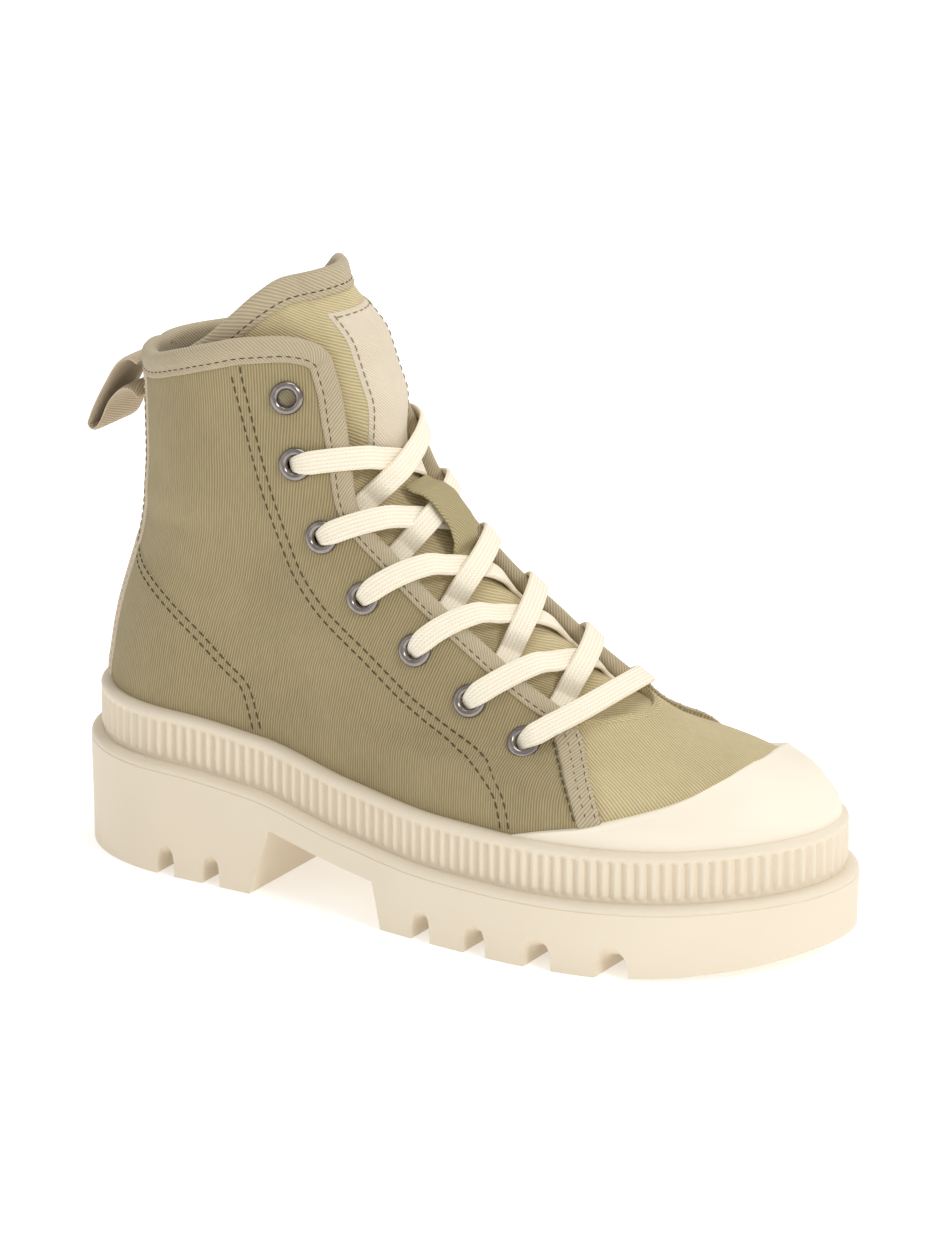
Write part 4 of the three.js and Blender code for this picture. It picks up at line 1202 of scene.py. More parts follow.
def make_binding(name, node, first, last, section, material, slot_name):
    """Sweeps a folded section along part of the edge loop, from one step to another round the back or the foot."""
    points, _, down = edge_loop(EDGE_COUNT)
    picks = np.arange(first, last + 1) % len(points)
    points, down = points[picks], down[picks]
    share = tape_share(points[:, 2])
    rings = np.stack([down_face(points, down, np.where(d > 1.5, d * share, d), o) for d, o in section], 1)
    reach = np.concatenate([[0], np.cumsum(np.linalg.norm(np.diff(points, axis=0), axis=1))])
    closed = np.array([*section, section[0]])
    across = np.concatenate([[0], np.cumsum(np.linalg.norm(np.diff(closed, axis=0), axis=1))])
    uv = np.stack(np.broadcast_arrays(reach[:, None], across[None, :]), -1)
    piece = hoop(name, drawn_back(rings), uv, material, slot_name)
    return settled(piece, node)


hem_section = [
    (1.4, -0.3),
    (1.4, 0.1),
    (0.4, 0.35),
    (-0.7, 0.25),
    (-1.3, -0.5),
    (-1.2, -1.9),
    (-0.4, -2.7),
    (4.0, -2.7),
    (4.0, -2.1),
    (0.4, -2.1),
    (0.3, -0.3),
]


def make_edge_tape():
    corner = throat_index + 3
    make_binding("edge_tape", "edge_tape", -corner, corner, tape_section, tape_twill, "tape")
    loop = 2 * EDGE_COUNT - 2
    # The hem takes the vamp's lighter twill, painted lighter for the light from above.
    make_binding("vamp_hem", "edge_tape", corner - 4, loop - corner + 4, hem_section, vamp_canvas_painted_lit, "canvas")


def cushion_profile(cols, width, plump, edge=0.5):
    """Offsets across a flat tape: places across and heights that fall off at both edges."""
    share = np.linspace(-1, 1, cols)
    place = np.sign(share) * (1 - (1 - np.abs(share)) ** 1.3) * width / 2
    rise = plump * (1 - np.abs(place / (width / 2)) ** 8) - edge * np.abs(place / (width / 2)) ** 16
    return place, rise


def make_straps():
    x, z = side_line(quarter_front, 60)
    across, rise = cushion_profile(13, STRAP_WIDTH, 0.25)
    keep = z > band_top(x) - 5
    for side, name in ((LATERAL, "front_strap_lateral"), (MEDIAL, "front_strap_medial")):
        outer, inner = [], []
        for place, lift in zip(across, rise):
            turn = mirrored(turn_at(x + place - STRAP_WIDTH / 2, z), side)
            outer.append(face(turn, z, TAPE_FACE - 0.15 + lift)[keep])
            inner.append(face(turn, z, np.full_like(z, QUARTER_FACE + LAYER_STEP + 0.05))[keep])
        outer, inner = np.stack(outer, 1), np.stack(inner, 1)
        steps = np.linalg.norm(np.diff(outer[:, 6], axis=0), axis=1)
        reach = np.concatenate([[0], np.cumsum(steps)])
        uv = np.stack(np.broadcast_arrays(reach[:, None], across[None, :]), -1)
        settled(shell(name, outer, inner, uv, tape_twill, "tape"), name)


def turn_at_arc(distance, z):
    """Turns at a distance round the section from the back, on the outer side."""
    turns = np.linspace(0, 0.25, 200)
    result = []
    for one_z, one_d in zip(np.ravel(z), np.ravel(distance)):
        result.append(np.interp(one_d, arc(turns, np.full(200, one_z)), turns))
    return np.reshape(result, np.shape(z))


def make_back_stay():
    across, rise = cushion_profile(21, STAY_WIDTH, 0.3)
    rise = rise + 1.3 * (1 - (across / STAY_WIDTH * 2) ** 2)
    z = np.linspace(band_top(back_line(55.0)) - 4, 0.794 * BOOT_HEIGHT - TAPE_WIDTH + 1.5, 60)
    zz, dd = np.meshgrid(z, np.abs(across), indexing="ij")
    turn = turn_at_arc(dd, zz)
    turn = np.where(across[None, :] < 0, 1 - turn, turn)
    relief = cloth_relief(np.where(turn > 0.5, 1 - turn, turn), zz) - LAYER_STEP
    outer = face(turn, zz, TAPE_FACE + rise[None, :] + np.clip(relief, -0.6, 0.6))
    inner = face(turn, zz, np.full_like(zz, QUARTER_FACE - 1.2))
    uv = np.stack(np.broadcast_arrays(zz, across[None, :]), -1)
    settled(shell("back_stay", outer, inner, uv, webbing, "tape"), "back_stay")


def catmull(points, count):
    """A smooth open curve through points, evenly spaced."""
    points = np.asarray(points, float)
    ends = np.vstack([2 * points[0] - points[1], points, 2 * points[-1] - points[-2]])
    fine = []
    for i in range(1, len(ends) - 2):
        a, b, c, d = ends[i - 1 : i + 3]
        for t in np.linspace(0, 1, 24, endpoint=False):
            fine.append(
                0.5 * (2 * b + (c - a) * t + (2 * a - 5 * b + 4 * c - d) * t**2 + (3 * b - 3 * c + d - a) * t**3)
            )
    fine.append(points[-1])
    fine = np.array(fine)
    reach = np.concatenate([[0], np.cumsum(np.linalg.norm(np.diff(fine, axis=0), axis=1))])
    even = np.linspace(0, reach[-1], count)
    return np.stack([np.interp(even, reach, fine[:, k]) for k in range(fine.shape[1])], -1)


def ribbon(name, points, ups, width, thickness, material, slot_name, plump=0.15, cols=13, widths=None):
    """A flat woven strip along points, facing the way of ups, with soft rounded edges."""
    run = unit(np.gradient(points, axis=0))
    across = unit(np.cross(run, ups))
    up = unit(np.cross(across, run))
    scale = np.ones(len(points)) if widths is None else widths
    place, rise = cushion_profile(cols, width, plump, edge=thickness * 0.35)
    top = points[:, None] + across[:, None] * (place[None, :, None] * scale[:, None, None])
    low = top - up[:, None] * (thickness / 2 + rise[None, :, None])
    high = top + up[:, None] * (thickness / 2 + rise[None, :, None])
    reach = np.concatenate([[0], np.cumsum(np.linalg.norm(np.diff(points, axis=0), axis=1))])
    uv = np.stack(np.broadcast_arrays(reach[:, None], place[None, :]), -1)
    return shell(name, high, low, uv, material, slot_name)


def make_pull_loop():
    base = np.array([back_line(LOOP_TOP) - TAPE_FACE - 0.3, 0, LOOP_TOP])
    path = np.stack([-1.07 * loop_shape["out"], 0 * loop_shape["out"], -1.1 * loop_shape["down"]], -1) + base
    points = catmull(path, 70)
    run = unit(np.gradient(points, axis=0))
    ups = np.stack([run[:, 2], 0 * run[:, 0], -run[:, 0]], -1)
    piece = ribbon("pull_loop", points, ups, LOOP_WIDTH, 1.3, webbing, "tape", plump=0.1, cols=21)
    return settled(piece, "pull_loop")


# Tongue, its tape, label and keeper


def tongue_offset(turn, z):
    """Height of the tongue's face over the upper's: sunk, fuller along the middle and towards its top."""
    fuller = np.maximum(0, 1 - np.abs(turn - 0.5) / SWELL_REACH) ** 0.7
    share = z / BOOT_HEIGHT
    full = smooth_step((share - 0.68) / 0.1) * (1 - smooth_step((share - 0.85) / 0.1))
    around = np.where(turn > 0.5, 0.17, 0.12)
    padded = 7.6 * full * smooth_step(1.3 - np.abs(turn - 0.5) / around)
    foot = (2.0 + 2.2 * (1 - fuller)) * smooth_step((0.375 - share) / 0.03)
    return -TONGUE_SINK + TONGUE_SWELL * fuller + padded + foot


def tongue_top_z(turn):
    """Height of the tongue's upper edge at each turn."""
    line = curve(tongue_top["along"] * LAST_LENGTH, tongue_top["height"] * BOOT_HEIGHT)
    z = np.full_like(turn, 0.93 * BOOT_HEIGHT)
    for _ in range(40):
        z = 0.5 * z + 0.5 * line(face(turn, z)[..., 0])
    return z


def tongue_half_turn(z):
    side_z = tongue_side["height"][1:][::-1] * BOOT_HEIGHT
    side_x = np.interp(z, side_z, tongue_side["along"][1:][::-1] * LAST_LENGTH)
    return 0.5 - turn_at(side_x, z)


def tongue_grid(rows, cols, top_drop=0.0):
    share = np.linspace(-1, 1, cols)[None, :]
    low = 0.318 * BOOT_HEIGHT
    v = np.linspace(0, 1, rows)[:, None]
    top_half = tongue_half_turn(np.array([0.86 * BOOT_HEIGHT]))[0]
    top_z = tongue_top_z(0.5 + share * top_half) - top_drop
    z = height(climb(low) + (climb(top_z) - climb(low)) * v)
    half = np.minimum(tongue_half_turn(z), top_half * 1.15)
    return 0.5 + share * half, z


def make_tongue():
    turn, z = tongue_grid(120, 60)
    offset = tongue_offset(turn, z)
    edge = smooth_step((1 - np.abs(np.linspace(-1, 1, 60))) / 0.06)[None, :]
    outer = face(turn, z, offset - 0.6 * (1 - edge))
    inner = face(turn, z, offset - TONGUE_THICKNESS)
    uv = np.stack([arc(turn, z), climb(z)], -1)
    # The tongue takes the vamp's lighter twill, painted lighter for the light from above.
    settled(shell("tongue", outer, inner, uv, vamp_canvas_painted_lit, "canvas"), "tongue")

    # Tape folded over the upper edge
    share = np.linspace(-1, 1, 90)
    top_half = tongue_half_turn(np.array([0.86 * BOOT_HEIGHT]))[0]
    turn = 0.5 + share * top_half
    z = tongue_top_z(turn)
    section = [
        (7.5, 0.05),
        (7.5, 0.6),
        (6.9, 0.9),
        (5.6, 0.75),
        (3.0, 1.05),
        (0.8, 1.0),
        (-0.4, 0.5),
        (-1.0, -0.6),
        (-1.0, -1.6),
        (-0.4, -2.8),
        (0.8, -3.3),
        (4.5, -3.3),
        (7.5, -3.0),
        (7.5, -2.42),
        (3.0, -2.42),
        (0.1, -2.42),
        (0.1, 0.05),
        (3.0, 0.05),
    ]
    rings = []
    for down, lift in section:
        there = z - down
        rings.append(face(turn, there, tongue_offset(turn, there) + lift))
    rings = np.stack(rings, 1)
    reach = share * 45
    closed = np.array([*section, section[0]])
    across = np.concatenate([[0], np.cumsum(np.linalg.norm(np.diff(closed, axis=0), axis=1))])
    uv = np.stack(np.broadcast_arrays(reach[:, None], across[None, :]), -1)
    settled(hoop("tongue_tape", rings, uv, tape_twill, "tape"), "tongue_tape")


PATCH_TOP = 13.2  # below the tongue's upper edge
PATCH_LOW = 0.69 * BOOT_HEIGHT


def tongue_turn(across, z):
    """Turns at a distance across the tongue from its middle line."""
    near = face(np.full_like(z, 0.5), z, tongue_offset(np.full_like(z, 0.5), z))
    result = np.full(np.broadcast(across, z).shape, 0.5)
    step = 0.002
    for _ in range(12):
        there = face(result, z, tongue_offset(result, z))
        miss = across - np.sign(result - 0.5 + 1e-9 * np.sign(across)) * np.linalg.norm(there - near, axis=-1)
        ahead = face(result + step, z, tongue_offset(result + step, z))
        scale = np.linalg.norm(ahead - there, axis=-1) / step
        result = result + np.clip(miss / np.maximum(scale, 40), -0.02, 0.02)
    return result


def make_patch():
    top = tongue_top_z(np.array([0.5]))[0] - PATCH_TOP
    v = np.linspace(0, 1, 40)[:, None]
    across = np.linspace(-1, 1, 25)[None, :] * PATCH_WIDTH / 2
    z = PATCH_LOW + (top - PATCH_LOW) * v + 0 * across
    turn = tongue_turn(across + 0 * z, z)
    rim = 1 - np.maximum(np.abs(across / (PATCH_WIDTH / 2)) ** 12, np.abs(2 * v - 1) ** 24)
    outer = face(turn, z, tongue_offset(turn, z) + 0.15 + 0.65 * rim)
    inner = face(turn, z, tongue_offset(turn, z) + 0.05)
    uv = np.stack([across + 0 * z, z], -1)
    settled(shell("tongue_patch", outer, inner, uv, label_twill, "tape"), "tongue_patch")
    return z, turn


KEEPER_LOW = 0.55 * BOOT_HEIGHT
KEEPER_HIGH = 0.652 * BOOT_HEIGHT
KEEPER_ARCH = 6.4


def make_keeper():
    share = np.array([0, 0.05, 0.17, 0.38, 0.62, 0.8, 0.92, 1])
    rise = np.array([0, 0, 0.62, 1, 1, 0.72, 0.2, 0])
    fine = np.linspace(0, 1, 60)
    lift = curve(share, rise)(fine)
    z = KEEPER_LOW + (KEEPER_HIGH - KEEPER_LOW) * fine
    middle = np.full_like(z, 0.5)
    points = face(middle, z, tongue_offset(middle, z) + 1.0 + lift * KEEPER_ARCH)
    ups = face_normal(middle, z)
    piece = ribbon("lace_keeper", points, ups, KEEPER_WIDTH, 1.5, strap_canvas, "canvas", plump=0.1, cols=15)
    return settled(piece, "lace_keeper")


# Lacing

LACE_FACE = TAPE_FACE + 0.35 + LACE_THICKNESS / 2
LACE_UNDER = -WALL - 2.1 - LACE_THICKNESS / 2
CROSS_LOW = -0.4
CROSS_HIGH = 2.0
EDGE_ROOM = 0.022
FAR_ROOM = 0.03
TUCK = 0.022
HOLE_DEPTH = 3.4
throat_corner_z = quarter_front["height"][0] * BOOT_HEIGHT


def throat_turn(z):
    part = slice(corner_index, EDGE_COUNT)
    return float(np.interp(z, edge_z[part][::-1], edge_turn[part][::-1]))


def eyelet_turn(i):
    z = eyelet_places["height"][i] * BOOT_HEIGHT
    return float(turn_at(eyelet_places["along"][i] * LAST_LENGTH, z)), float(z)


def nearest_ridge(point):
    heights = point[2] - 6 + np.arange(160) / 4
    gap = (front_line(heights) - point[0]) ** 2 + (heights - point[2]) ** 2
    return float(heights[np.argmin(gap)])


def height_on_plane(turn, guess, origin, across):
    """The height at which the face at each turn meets a plane."""

    def miss(z):
        return (face(turn, z) - origin) @ across

    low, high = np.full_like(turn, guess - 30), np.full_like(turn, guess + 30)
    rising = miss(high) > miss(low)
    for _ in range(30):
        z = (low + high) / 2
        over = (miss(z) > 0) == rising
        high = np.where(over, z, high)
        low = np.where(over, low, z)
    return (low + high) / 2


def lace_strip(name, stations, ridge, origin, across, from_hole, to_hole=False):
    """A lace through stations of turn and offset, in the plane of its two ends and the ridge."""
    turns = np.array([station[0] for station in stations])
    offsets = np.array([station[1] for station in stations])
    order = np.argsort(turns)
    along = np.linspace(turns[order][0], turns[order][-1], 140)
    offset = curve(turns[order], offsets[order])(along)
    if turns[0] > turns[-1]:
        along, offset = along[::-1], offset[::-1]
    z = height_on_plane(along, ridge, origin, across)
    points = face(along, z, offset)
    ups = face_normal(along, z)
    reach = np.concatenate([[0], np.cumsum(np.linalg.norm(np.diff(points, axis=0), axis=1))])
    widths = np.ones(len(points))
    if from_hole:
        widths *= 0.62 + 0.38 * smooth_step(reach / 9)
    if to_hole:
        widths *= 0.62 + 0.38 * smooth_step((reach[-1] - reach) / 9)
    return ribbon(name, points, ups, LACE_WIDTH, LACE_THICKNESS, lace_braid, "lace", plump=0.18, widths=widths)


def crossing_lace(name, upper, lower, side, middle_offset, fall, sag=0.0):
    """A lace from one eyelet over the tongue to where it goes under the other facing, fall of a row lower.
    sag lowers it where it crosses the ridge."""
    (from_turn, from_z), (_, to_z) = eyelet_turn(upper), eyelet_turn(lower)
    entry = max(from_z + (to_z - from_z) * fall, throat_corner_z + 3)
    far_turn = 1 - throat_turn(entry)
    start = face(mirrored(from_turn, side), from_z)
    end = face(mirrored(far_turn, side), entry)
    share = (start[1] - centre_line(start[0])) / (start[1] - end[1])
    ridge_at = nearest_ridge(start + (end - start) * share) - sag
    across = unit(np.cross(end - start, face(0.5, ridge_at) - start))
    edge = throat_turn(from_z + (ridge_at - from_z) * 0.5) + EDGE_ROOM
    far_edge = far_turn - FAR_ROOM
    first_drop, second_drop, first_rise = (-0.04, 0.3, 0.5) if middle_offset > 0 else (0.25, 0.75, 0.12)
    stations = [
        (from_turn - 0.006, LACE_FACE - HOLE_DEPTH),
        (from_turn + 0.002, LACE_FACE - 0.6),
        (from_turn + 0.014, LACE_FACE + 0.5),
        ((from_turn + 0.014 + edge) / 2, LACE_FACE + 0.1),
        (edge, LACE_FACE),
        (edge + 0.4 * (0.5 - edge), middle_offset + (LACE_FACE - middle_offset) * first_rise),
        (0.5, middle_offset),
        (0.5 + 0.35 * (far_edge - 0.5), middle_offset + (LACE_UNDER - middle_offset) * first_drop),
        (0.5 + 0.7 * (far_edge - 0.5), middle_offset + (LACE_UNDER - middle_offset) * second_drop),
        (far_edge, LACE_UNDER),
        (far_turn + TUCK, LACE_UNDER),
    ]
    placed = [(mirrored(turn, side), offset) for turn, offset in stations]
    return lace_strip(name, placed, ridge_at, start, across, from_hole=True)


def make_laces():
    falls = {1: 0.62, 2: 0.3, 3: 0.2, 4: 0.2, 5: 0.4}
    sags = {1: 1.9, 2: 0.8, 3: -0.8, 4: -0.5, 5: 0.9}
    for row in range(1, 6):
        node = f"lace_cross_{row}"
        low = crossing_lace(f"lace_lateral_{row}", row, row + 1, LATERAL, CROSS_LOW, 0.62, sags[row])
        high = crossing_lace(f"lace_medial_{row}", row, row + 1, MEDIAL, CROSS_HIGH, falls[row], 0.8)
        settled(low, node)
        settled(high, node)
    turn, z = eyelet_turn(6)
    start, end = face(turn, z), face(1 - turn, z)
    ridge_at = nearest_ridge((start + end) / 2) - 4.5
    across = unit(np.cross(end - start, face(0.5, ridge_at) - start))
    half = [
        (turn - 0.006, LACE_FACE - HOLE_DEPTH),
        (turn + 0.002, LACE_FACE - 0.6),
        (turn + 0.014, LACE_FACE + 0.9),
        ((turn + 0.5) / 2, LACE_FACE + 0.4),
    ]
    stations = [*half, (0.5, LACE_FACE + 0.4), *[(1 - t, o) for t, o in half[::-1]]]
    bar = lace_strip("lace_bar", stations, ridge_at, start, across, from_hole=True, to_hole=True)
    settled(bar, "lace_bar")


# Rubber


def make_band():
    samples = RIBS * 8
    ring, out, total = outline(0, samples)
    phase = np.arange(samples) / 8
    rib = (0.5 + 0.5 * np.cos(2 * np.pi * phase)) ** 0.8
    x = ring[:, 0]
    foot, top = deck_line(x), band_top(x)
    profile = [
        (foot - 1.5, BAND_THICKNESS + 0.4, 0),
        (foot + 0.4, BAND_THICKNESS + 0.3, 0),
        (foot + 0.9, BAND_THICKNESS - 0.2, 0.25),
        (foot + 1.5, BAND_THICKNESS - RIB_HOLLOW, 0.75),
        (foot + 2.4, BAND_THICKNESS - RIB_HOLLOW, 0.95),
        (foot + 4.0, BAND_THICKNESS - RIB_HOLLOW, 1),
        (top - LIP - 1.6, BAND_THICKNESS - RIB_HOLLOW, 1),
        (top - LIP - 0.5, BAND_THICKNESS - RIB_HOLLOW, 0.97),
        (top - LIP + 0.1, BAND_THICKNESS - RIB_HOLLOW * 0.7, 0.8),
        (top - LIP + 0.7, BAND_THICKNESS + RIB_DEPTH * 0.5, 0.3),
        (top - LIP + 1.3, BAND_THICKNESS + RIB_DEPTH * 0.95, 0),
        (top - 1.7, BAND_THICKNESS + RIB_DEPTH, 0),
        (top - 0.8, BAND_THICKNESS + RIB_DEPTH * 0.7, 0),
        (top - 0.2, BAND_THICKNESS - 0.1, 0),
        (top, BAND_THICKNESS - 1.2, 0),
        (top - 0.1, 0.6, 0),
        (top - 1.5, -1.0, 0),
        (foot - 1.5, -1.0, 0),
    ]
    rings = []
    for level, base, ribbed in profile:
        there = ring + out * (base + (RIB_DEPTH + RIB_HOLLOW) * ribbed * rib)[:, None]
        there[:, 2] = level
        rings.append(there)
    rings = np.stack(rings, 1)
    uv = np.zeros((samples + 1, len(profile) + 1, 2))
    piece = hoop("ribbed_band", rings, uv, sole_rubber, "sole_rubber", closed=True)
    return settled(piece, "ribbed_band")


def cap_grid(rows, cols):
    x, z = side_line(cap_edge, 200)
    on_face = x < front_line(z) - 0.02
    x, z = x[on_face], z[on_face]
    turn = turn_at(x, z)
    last_z = np.interp(0.5, turn, z) if turn[-1] >= 0.5 else z[-1] + 0.15
    turn, z = np.append(turn, 0.5), np.append(z, last_z)
    s = climb(z)
    reach = np.concatenate([[0], np.cumsum(np.linalg.norm(np.diff(face(turn, z), axis=0), axis=1))])
    even = np.linspace(0, reach[-1], cols // 2 + 1)
    top_turn, top_s = np.interp(even, reach, turn), np.interp(even, reach, s)
    top_turn = np.concatenate([top_turn, 1 - top_turn[-2::-1]])
    top_s = np.concatenate([top_s, top_s[-2::-1]])
    low_turn = top_turn[0] + (1 - 2 * top_turn[0]) * np.linspace(0, 1, len(top_turn))
    low_turn = 0.5 * low_turn + 0.5 * top_turn
    low_s = climb(bottom_row(low_turn, BAND_HEIGHT - 5))
    v = np.linspace(0, 1, rows)[:, None]
    return low_turn + (top_turn - low_turn) * v, height(low_s + (top_s - low_s) * v)


def make_cap():
    turn, z = cap_grid(44, 200)
    v = np.linspace(0, 1, 44)[:, None]
    rim = smooth_step((1 - v) / 0.05)
    lip = 0.35 * np.exp(-(((v - 0.93) / 0.04) ** 2))
    outer = face(turn, z, 0.4 + 2.0 * rim + lip + 0 * turn)
    inner = face(turn, z, np.full_like(turn, 0.05))
    uv = np.stack([turn * 600, z], -1)
    settled(shell("toe_cap", outer, inner, uv, cap_rubber, "cap_rubber"), "toe_cap")


def cutter(name, rings):
    rings = np.asarray(rings, float)
    uv = np.zeros((rings.shape[0], rings.shape[1] + 1, 2))
    return hoop(name, rings, uv, sole_rubber, "sole_rubber", smooth_angle=None)


def subtract(piece, tools):
    """Cuts tools out of a piece and throws them away."""
    for tool in tools:
        modifier = piece.modifiers.new("cut", "BOOLEAN")
        modifier.operation = "DIFFERENCE"
        modifier.solver = "EXACT"
        modifier.object = tool
    apply_modifiers(piece)
    for tool in tools:
        bpy.data.objects.remove(tool)


def apply_modifiers(piece):
    bpy.ops.object.select_all(action="DESELECT")
    piece.select_set(True)
    bpy.context.view_layer.objects.active = piece
    for modifier in list(piece.modifiers):
        bpy.ops.object.modifier_apply(modifier=modifier.name)


def groove_tool(index, side):
    x = grooves["along"][index] * SOLE_LENGTH
    half = grooves["width"][index] * SOLE_LENGTH / 2
    wall = centre_line(x) + side * (half_width(x, OUTLINE_LEVEL, side) + BAND_THICKNESS + LEDGE)
    across = np.linspace(0, np.pi, 15)

    def section(y, top):
        arch = [(x + half * (0.62 * math.cos(a) + 0.2 * math.cos(a)), y, top * math.sin(a) ** 0.6) for a in across]
        return [(x + half + 1, y, -6), *arch, (x - half - 1, y, -6)]

    return cutter(
        "groove",
        [
            section(wall - side * LUG_DEPTH, GROOVE_CEILING),
            section(wall - side * GROOVE_FLARE, GROOVE_CEILING),
            section(wall - side * GROOVE_FLARE * 0.4, GROOVE_CEILING * 0.6 + GROOVE_MOUTH * 0.4),
            section(wall, GROOVE_MOUTH),
            section(wall + side * 12, GROOVE_MOUTH),
        ],
    )


def make_outsole():
    edge = BAND_THICKNESS + LEDGE
    ring, out, _ = outline(0, 300)
    x = ring[:, 0]
    deck = deck_line(x)
    profile = [
        (-5 + 0 * x, edge - 0.5),
        (12 + 0 * x, edge - 0.3),
        (deck - 6.0, edge),
        (deck - 3.0, edge),
        (deck - 2.7, edge - 0.25),
        (deck - 2.4, edge),
        (deck - 1.4, edge - 0.1),
        (deck - 0.6, edge - 0.6),
        (deck - 0.15, edge - 1.5),
        (deck, edge - 2.6),
        (deck - 0.2, BAND_THICKNESS + 0.5),
        (deck - 0.3, BAND_THICKNESS - 1.5),
    ]
    rings = []
    for level, base in profile:
        there = ring + out * base
        there[:, 2] = level
        rings.append(there)
    middle = ring * [0.75, 0.6, 1] + [0, 0, 0]
    middle[:, 2] = deck_line(middle[:, 0]) - 0.3
    rings.append(middle)
    uv = np.zeros((len(rings), len(ring) + 1, 2))
    piece = hoop("outsole", np.stack(rings), uv, sole_rubber, "sole_rubber", smooth_angle=None)
    length = SOLE_LENGTH

    def waist(share):
        return (share * length, deck_line(share * length) - WAIST_THICKNESS)

    ground = [
        (-300, -20),
        (-300, 0),
        (HEEL_BREAST * length, 0),
        waist(HEEL_BREAST + BREAST_SLANT),
        waist(-0.12),
        waist(-0.07),
        waist(TREAD_START - TREAD_SLANT),
        (TREAD_START * length, 0),
        (SPRING_START * length, 0),
        (0.36 * length, TOE_SPRING * 0.16),
        (0.43 * length, TOE_SPRING * 0.48),
        (0.5 * length, TOE_SPRING),
        (300, TOE_SPRING * 2),
        (300, -20),
    ]
    tools = [cutter("ground", [[(px, y, pz) for px, pz in ground] for y in (-90, 90)])]
    for index in range(len(grooves["along"])):
        tools += [groove_tool(index, LATERAL), groove_tool(index, MEDIAL)]
    subtract(piece, tools)
    bevel = piece.modifiers.new("soft_edges", "BEVEL")
    bevel.width = 0.5 * MM
    bevel.segments = 2
    bevel.limit_method = "ANGLE"
    bevel.angle_limit = math.radians(35)
    apply_modifiers(piece)
    bpy.ops.object.shade_smooth_by_angle(angle=math.radians(40))
    return settled(piece, "outsole")


# Eyelets


eyelet_section = table(
    "radius lift",
    (2.75, -3.2),
    (3.2, -3.2),
    (3.3, 0.6),
    (5.3, 0.6),
    (5.5, 0.8),
    (5.4, 1.15),
    (5.05, 1.6),
    (4.5, 1.95),
    (3.9, 2.0),
    (3.35, 1.75),
    (2.95, 1.25),
    (2.75, 0.6),
)


def make_eyelets():
    angles = np.linspace(0, 2 * np.pi, 40, endpoint=False)
    radius = eyelet_section["radius"][None, :, None]
    lift = eyelet_section["lift"][None, :, None] + QUARTER_FACE + LAYER_STEP - 0.4
    for side, word in ((LATERAL, "lateral"), (MEDIAL, "medial")):
        for index in range(len(eyelet_places["along"])):
            point, out, first, second = eyelet_frame(index, side)
            spokes = np.cos(angles)[:, None] * first + np.sin(angles)[:, None] * second
            rings = point + spokes[:, None] * radius + out * lift
            uv = np.zeros((len(angles) + 1, radius.size + 1, 2))
            name = f"eyelet_{word}_{index + 1}"
            piece = hoop(name + "_ring", rings, uv, eyelet_metal, "eyelet_metal", closed=True, smooth_angle=60)
            settled(piece, name)


# Stitches


def thread_stitches(name, rows, material, slot_name, length=2.5, gap=0.75, radius=0.3):
    """Short sunk threads along rows of (points, outward directions)."""
    around = np.linspace(0, 2 * np.pi, 6, endpoint=False)
    along = np.array([-1, -0.8, 0, 0.8, 1])
    thick = np.array([0.35, 0.85, 1, 0.85, 0.35])
    sink = np.array([-1.1, -0.45, -0.05, -0.45, -1.1]) * radius
    points, faces = [], []
    for line, ups in rows:
        reach = np.concatenate([[0], np.cumsum(np.linalg.norm(np.diff(line, axis=0), axis=1))])
        count = max(int(reach[-1] / (length + gap)), 1)
        pitch = reach[-1] / count
        for i in range(count):
            ends = pitch * i + gap / 2 + (along * 0.5 + 0.5) * (pitch - gap)
            places = np.stack([np.interp(ends, reach, line[:, k]) for k in range(3)], -1)
            up = unit(np.stack([np.interp(ends, reach, ups[:, k]) for k in range(3)], -1))
            run = unit(places[-1] - places[0])
            wide = unit(np.cross(run, up))
            ring = (
                places[:, None]
                + up[:, None] * sink[:, None, None]
                + wide[:, None] * (np.cos(around)[None, :, None] * thick[:, None, None] * radius)
                + up[:, None] * (np.sin(around)[None, :, None] * thick[:, None, None] * radius)
            )
            base = len(points)
            points.extend(ring.reshape(-1, 3))
            for r in range(4):
                for c in range(6):
                    d = (c + 1) % 6
                    faces.append([base + r * 6 + c, base + r * 6 + d, base + (r + 1) * 6 + d, base + (r + 1) * 6 + c])
            faces.append([base + c for c in reversed(range(6))])
            faces.append([base + 24 + c for c in range(6)])
    points = in_row(np.array(points))
    if volume_of(points, faces[: 4 * 6 + 2]) < 0:
        for corners in faces:
            corners.reverse()
    uv = np.zeros((sum(len(corners) for corners in faces), 2))
    return settled(link_mesh(name, points, faces, uv, material, slot_name))


def side_stitch_row(x, z, side, offset, relief=True):
    turn = turn_at(x, z)
    lift = cloth_relief(turn, z) if relief else 0 * turn
    there = mirrored(turn, side)
    return drawn_back(face(there, z, offset + lift)), face_normal(there, z)


def moved_line(line, distance):
    x, z = line
    run_x, run_z = np.gradient(x), np.gradient(z)
    size = np.hypot(run_x, run_z)
    return x - run_z / size * distance, z + run_x / size * distance


def above_band(x, z):
    return z > band_top(x) + 0.3


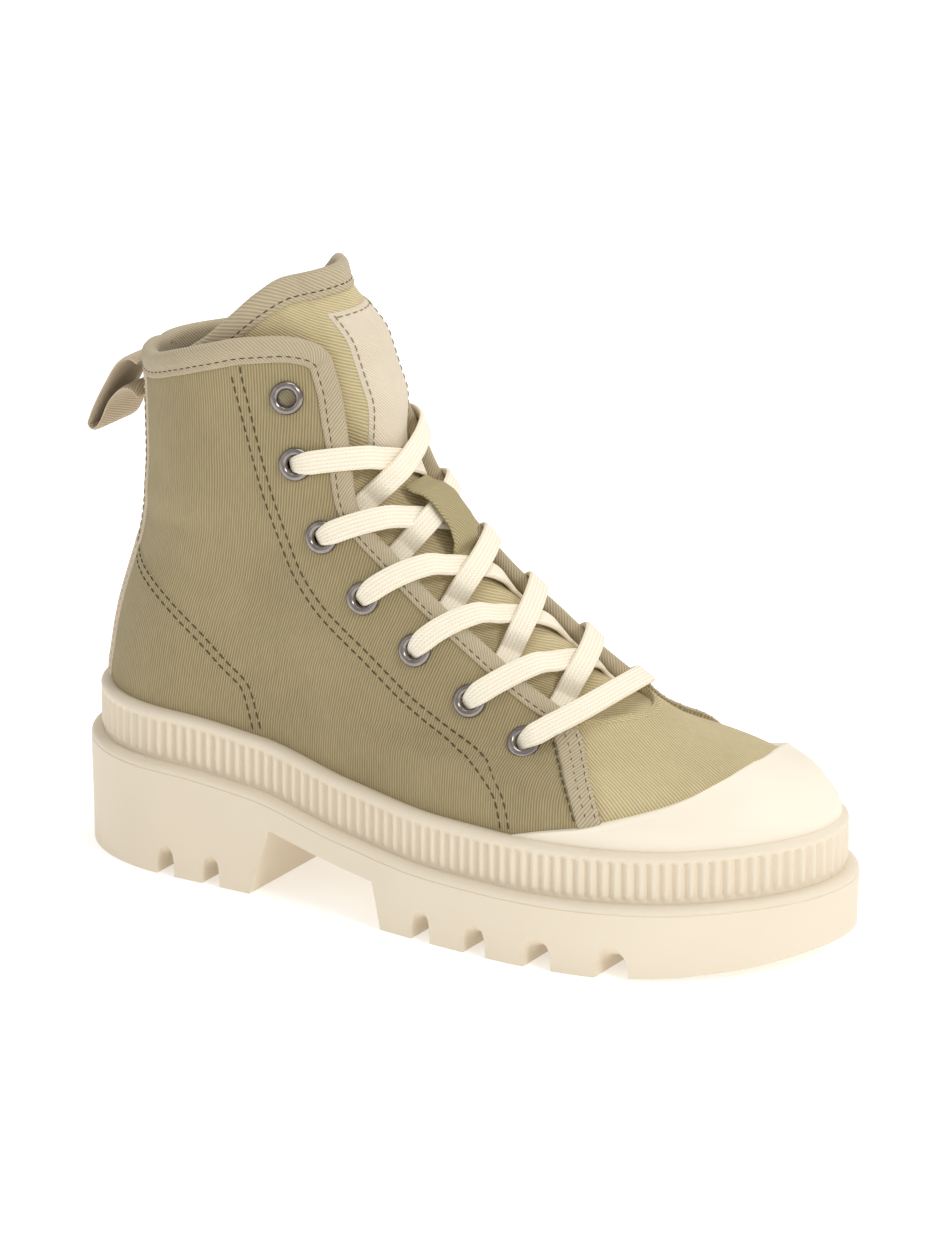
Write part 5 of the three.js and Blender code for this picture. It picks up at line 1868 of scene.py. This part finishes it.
def make_stitches():
    seam_rows, tape_rows = [], []
    for side in (LATERAL, MEDIAL):
        for distance in (0.9, 4.1):
            x, z = moved_line(facing_line, distance)
            keep = above_band(x, z) & (left_of(side_line(top_edge, 200), x, z) < -TAPE_WIDTH - 0.2)
            seam_rows.append(side_stitch_row(x[keep], z[keep], side, QUARTER_FACE + 0.1))
        for distance in (-0.9, -3.9):
            x, z = moved_line(counter_line, distance)
            keep = above_band(x, z) & (x > back_line(z) + 3.5)
            seam_rows.append(side_stitch_row(x[keep], z[keep], side, QUARTER_FACE + 0.1))
        cap_x, cap_z = side_line(cap_edge, 80)
        for distance in (1.2, 4.3, STRAP_WIDTH + 0.5):
            x, z = side_line(quarter_front, 60)
            x = x - distance
            keep = above_band(x, z) & (z < throat_corner_z - 3) & (z > np.interp(x, cap_x, cap_z) + 0.8)
            tape_rows.append(side_stitch_row(x[keep], z[keep], side, TAPE_FACE - 0.02, relief=False))
    thread_stitches("seam_stitches", seam_rows, dark_thread, "canvas")
    points, _, down = edge_loop(EDGE_COUNT)
    picks = np.arange(-throat_index, throat_index + 1)
    moved = settle(points[picks] + down[picks] * tape_share(points[picks][:, 2]) * 5.0)
    row = drawn_back(raised(moved, side_of(moved), np.full(len(moved), 2.05)))
    tape_rows.append((row, outward(moved, side_of(moved))))
    thread_stitches("tape_stitches", tape_rows, dark_thread, "tape", length=2.3, radius=0.26)

    # Stay, label, keeper and tongue tape
    pale_rows = []
    z = np.linspace(band_top(back_line(55.0)) + 1, 0.794 * BOOT_HEIGHT - TAPE_WIDTH - 0.5, 60)
    for side in (LATERAL, MEDIAL):
        turn = mirrored(turn_at_arc(np.full_like(z, STAY_WIDTH / 2 - 1.6), z), side)
        pale_rows.append((face(turn, z, TAPE_FACE + 0.15), face_normal(turn, z)))
    top = tongue_top_z(np.array([0.5]))[0] - PATCH_TOP
    for across in (-PATCH_WIDTH / 2 + 1.5, PATCH_WIDTH / 2 - 1.5):
        z = np.linspace(PATCH_LOW + 1.5, top - 0.5, 60)
        turn = tongue_turn(np.full_like(z, across), z)
        pale_rows.append((face(turn, z, tongue_offset(turn, z) + 0.85), face_normal(turn, z)))
    across = np.linspace(-PATCH_WIDTH / 2 + 1.5, PATCH_WIDTH / 2 - 1.5, 30)
    z = np.full_like(across, PATCH_LOW + 1.5)
    turn = tongue_turn(across, z)
    pale_rows.append((face(turn, z, tongue_offset(turn, z) + 0.85), face_normal(turn, z)))
    z = np.full_like(across, top - 1.5)
    turn = tongue_turn(across, z)
    pale_rows.append((face(turn, z, tongue_offset(turn, z) + 0.85), face_normal(turn, z)))
    thread_stitches("trim_stitches", pale_rows, pale_thread, "tape", length=2.1, radius=0.22)

    share = np.linspace(-0.98, 0.98, 90)
    top_half = tongue_half_turn(np.array([0.86 * BOOT_HEIGHT]))[0]
    turn = 0.5 + share * top_half
    z = tongue_top_z(turn) - 5.6
    rows = [(face(turn, z, tongue_offset(turn, z) + 0.8), face_normal(turn, z))]
    for level in (KEEPER_LOW + 1.2, KEEPER_HIGH - 1.2):
        across = np.linspace(-KEEPER_WIDTH / 2 + 1, KEEPER_WIDTH / 2 - 1, 20)
        z = np.full_like(across, level)
        turn = tongue_turn(across, z)
        rows.append((face(turn, z, tongue_offset(turn, z) + 1.85), face_normal(turn, z)))
    thread_stitches("tongue_stitches", rows, dark_thread, "canvas", length=2.1, radius=0.24)


floor = make_studio()
floor.data.materials.append(plain_floor())
make_upper()
make_edge_tape()
make_straps()
make_back_stay()
make_pull_loop()
make_tongue()
make_patch()
make_keeper()
make_laces()
make_band()
make_cap()
make_outsole()
make_eyelets()
make_stitches()

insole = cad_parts["insole"]
footbed = moulded_rubber("woven_footbed", linear(196, 180, 146), linear(150, 134, 102), 0.9, 0.2)
insole.data.materials.clear()
insole.data.materials.append(footbed)
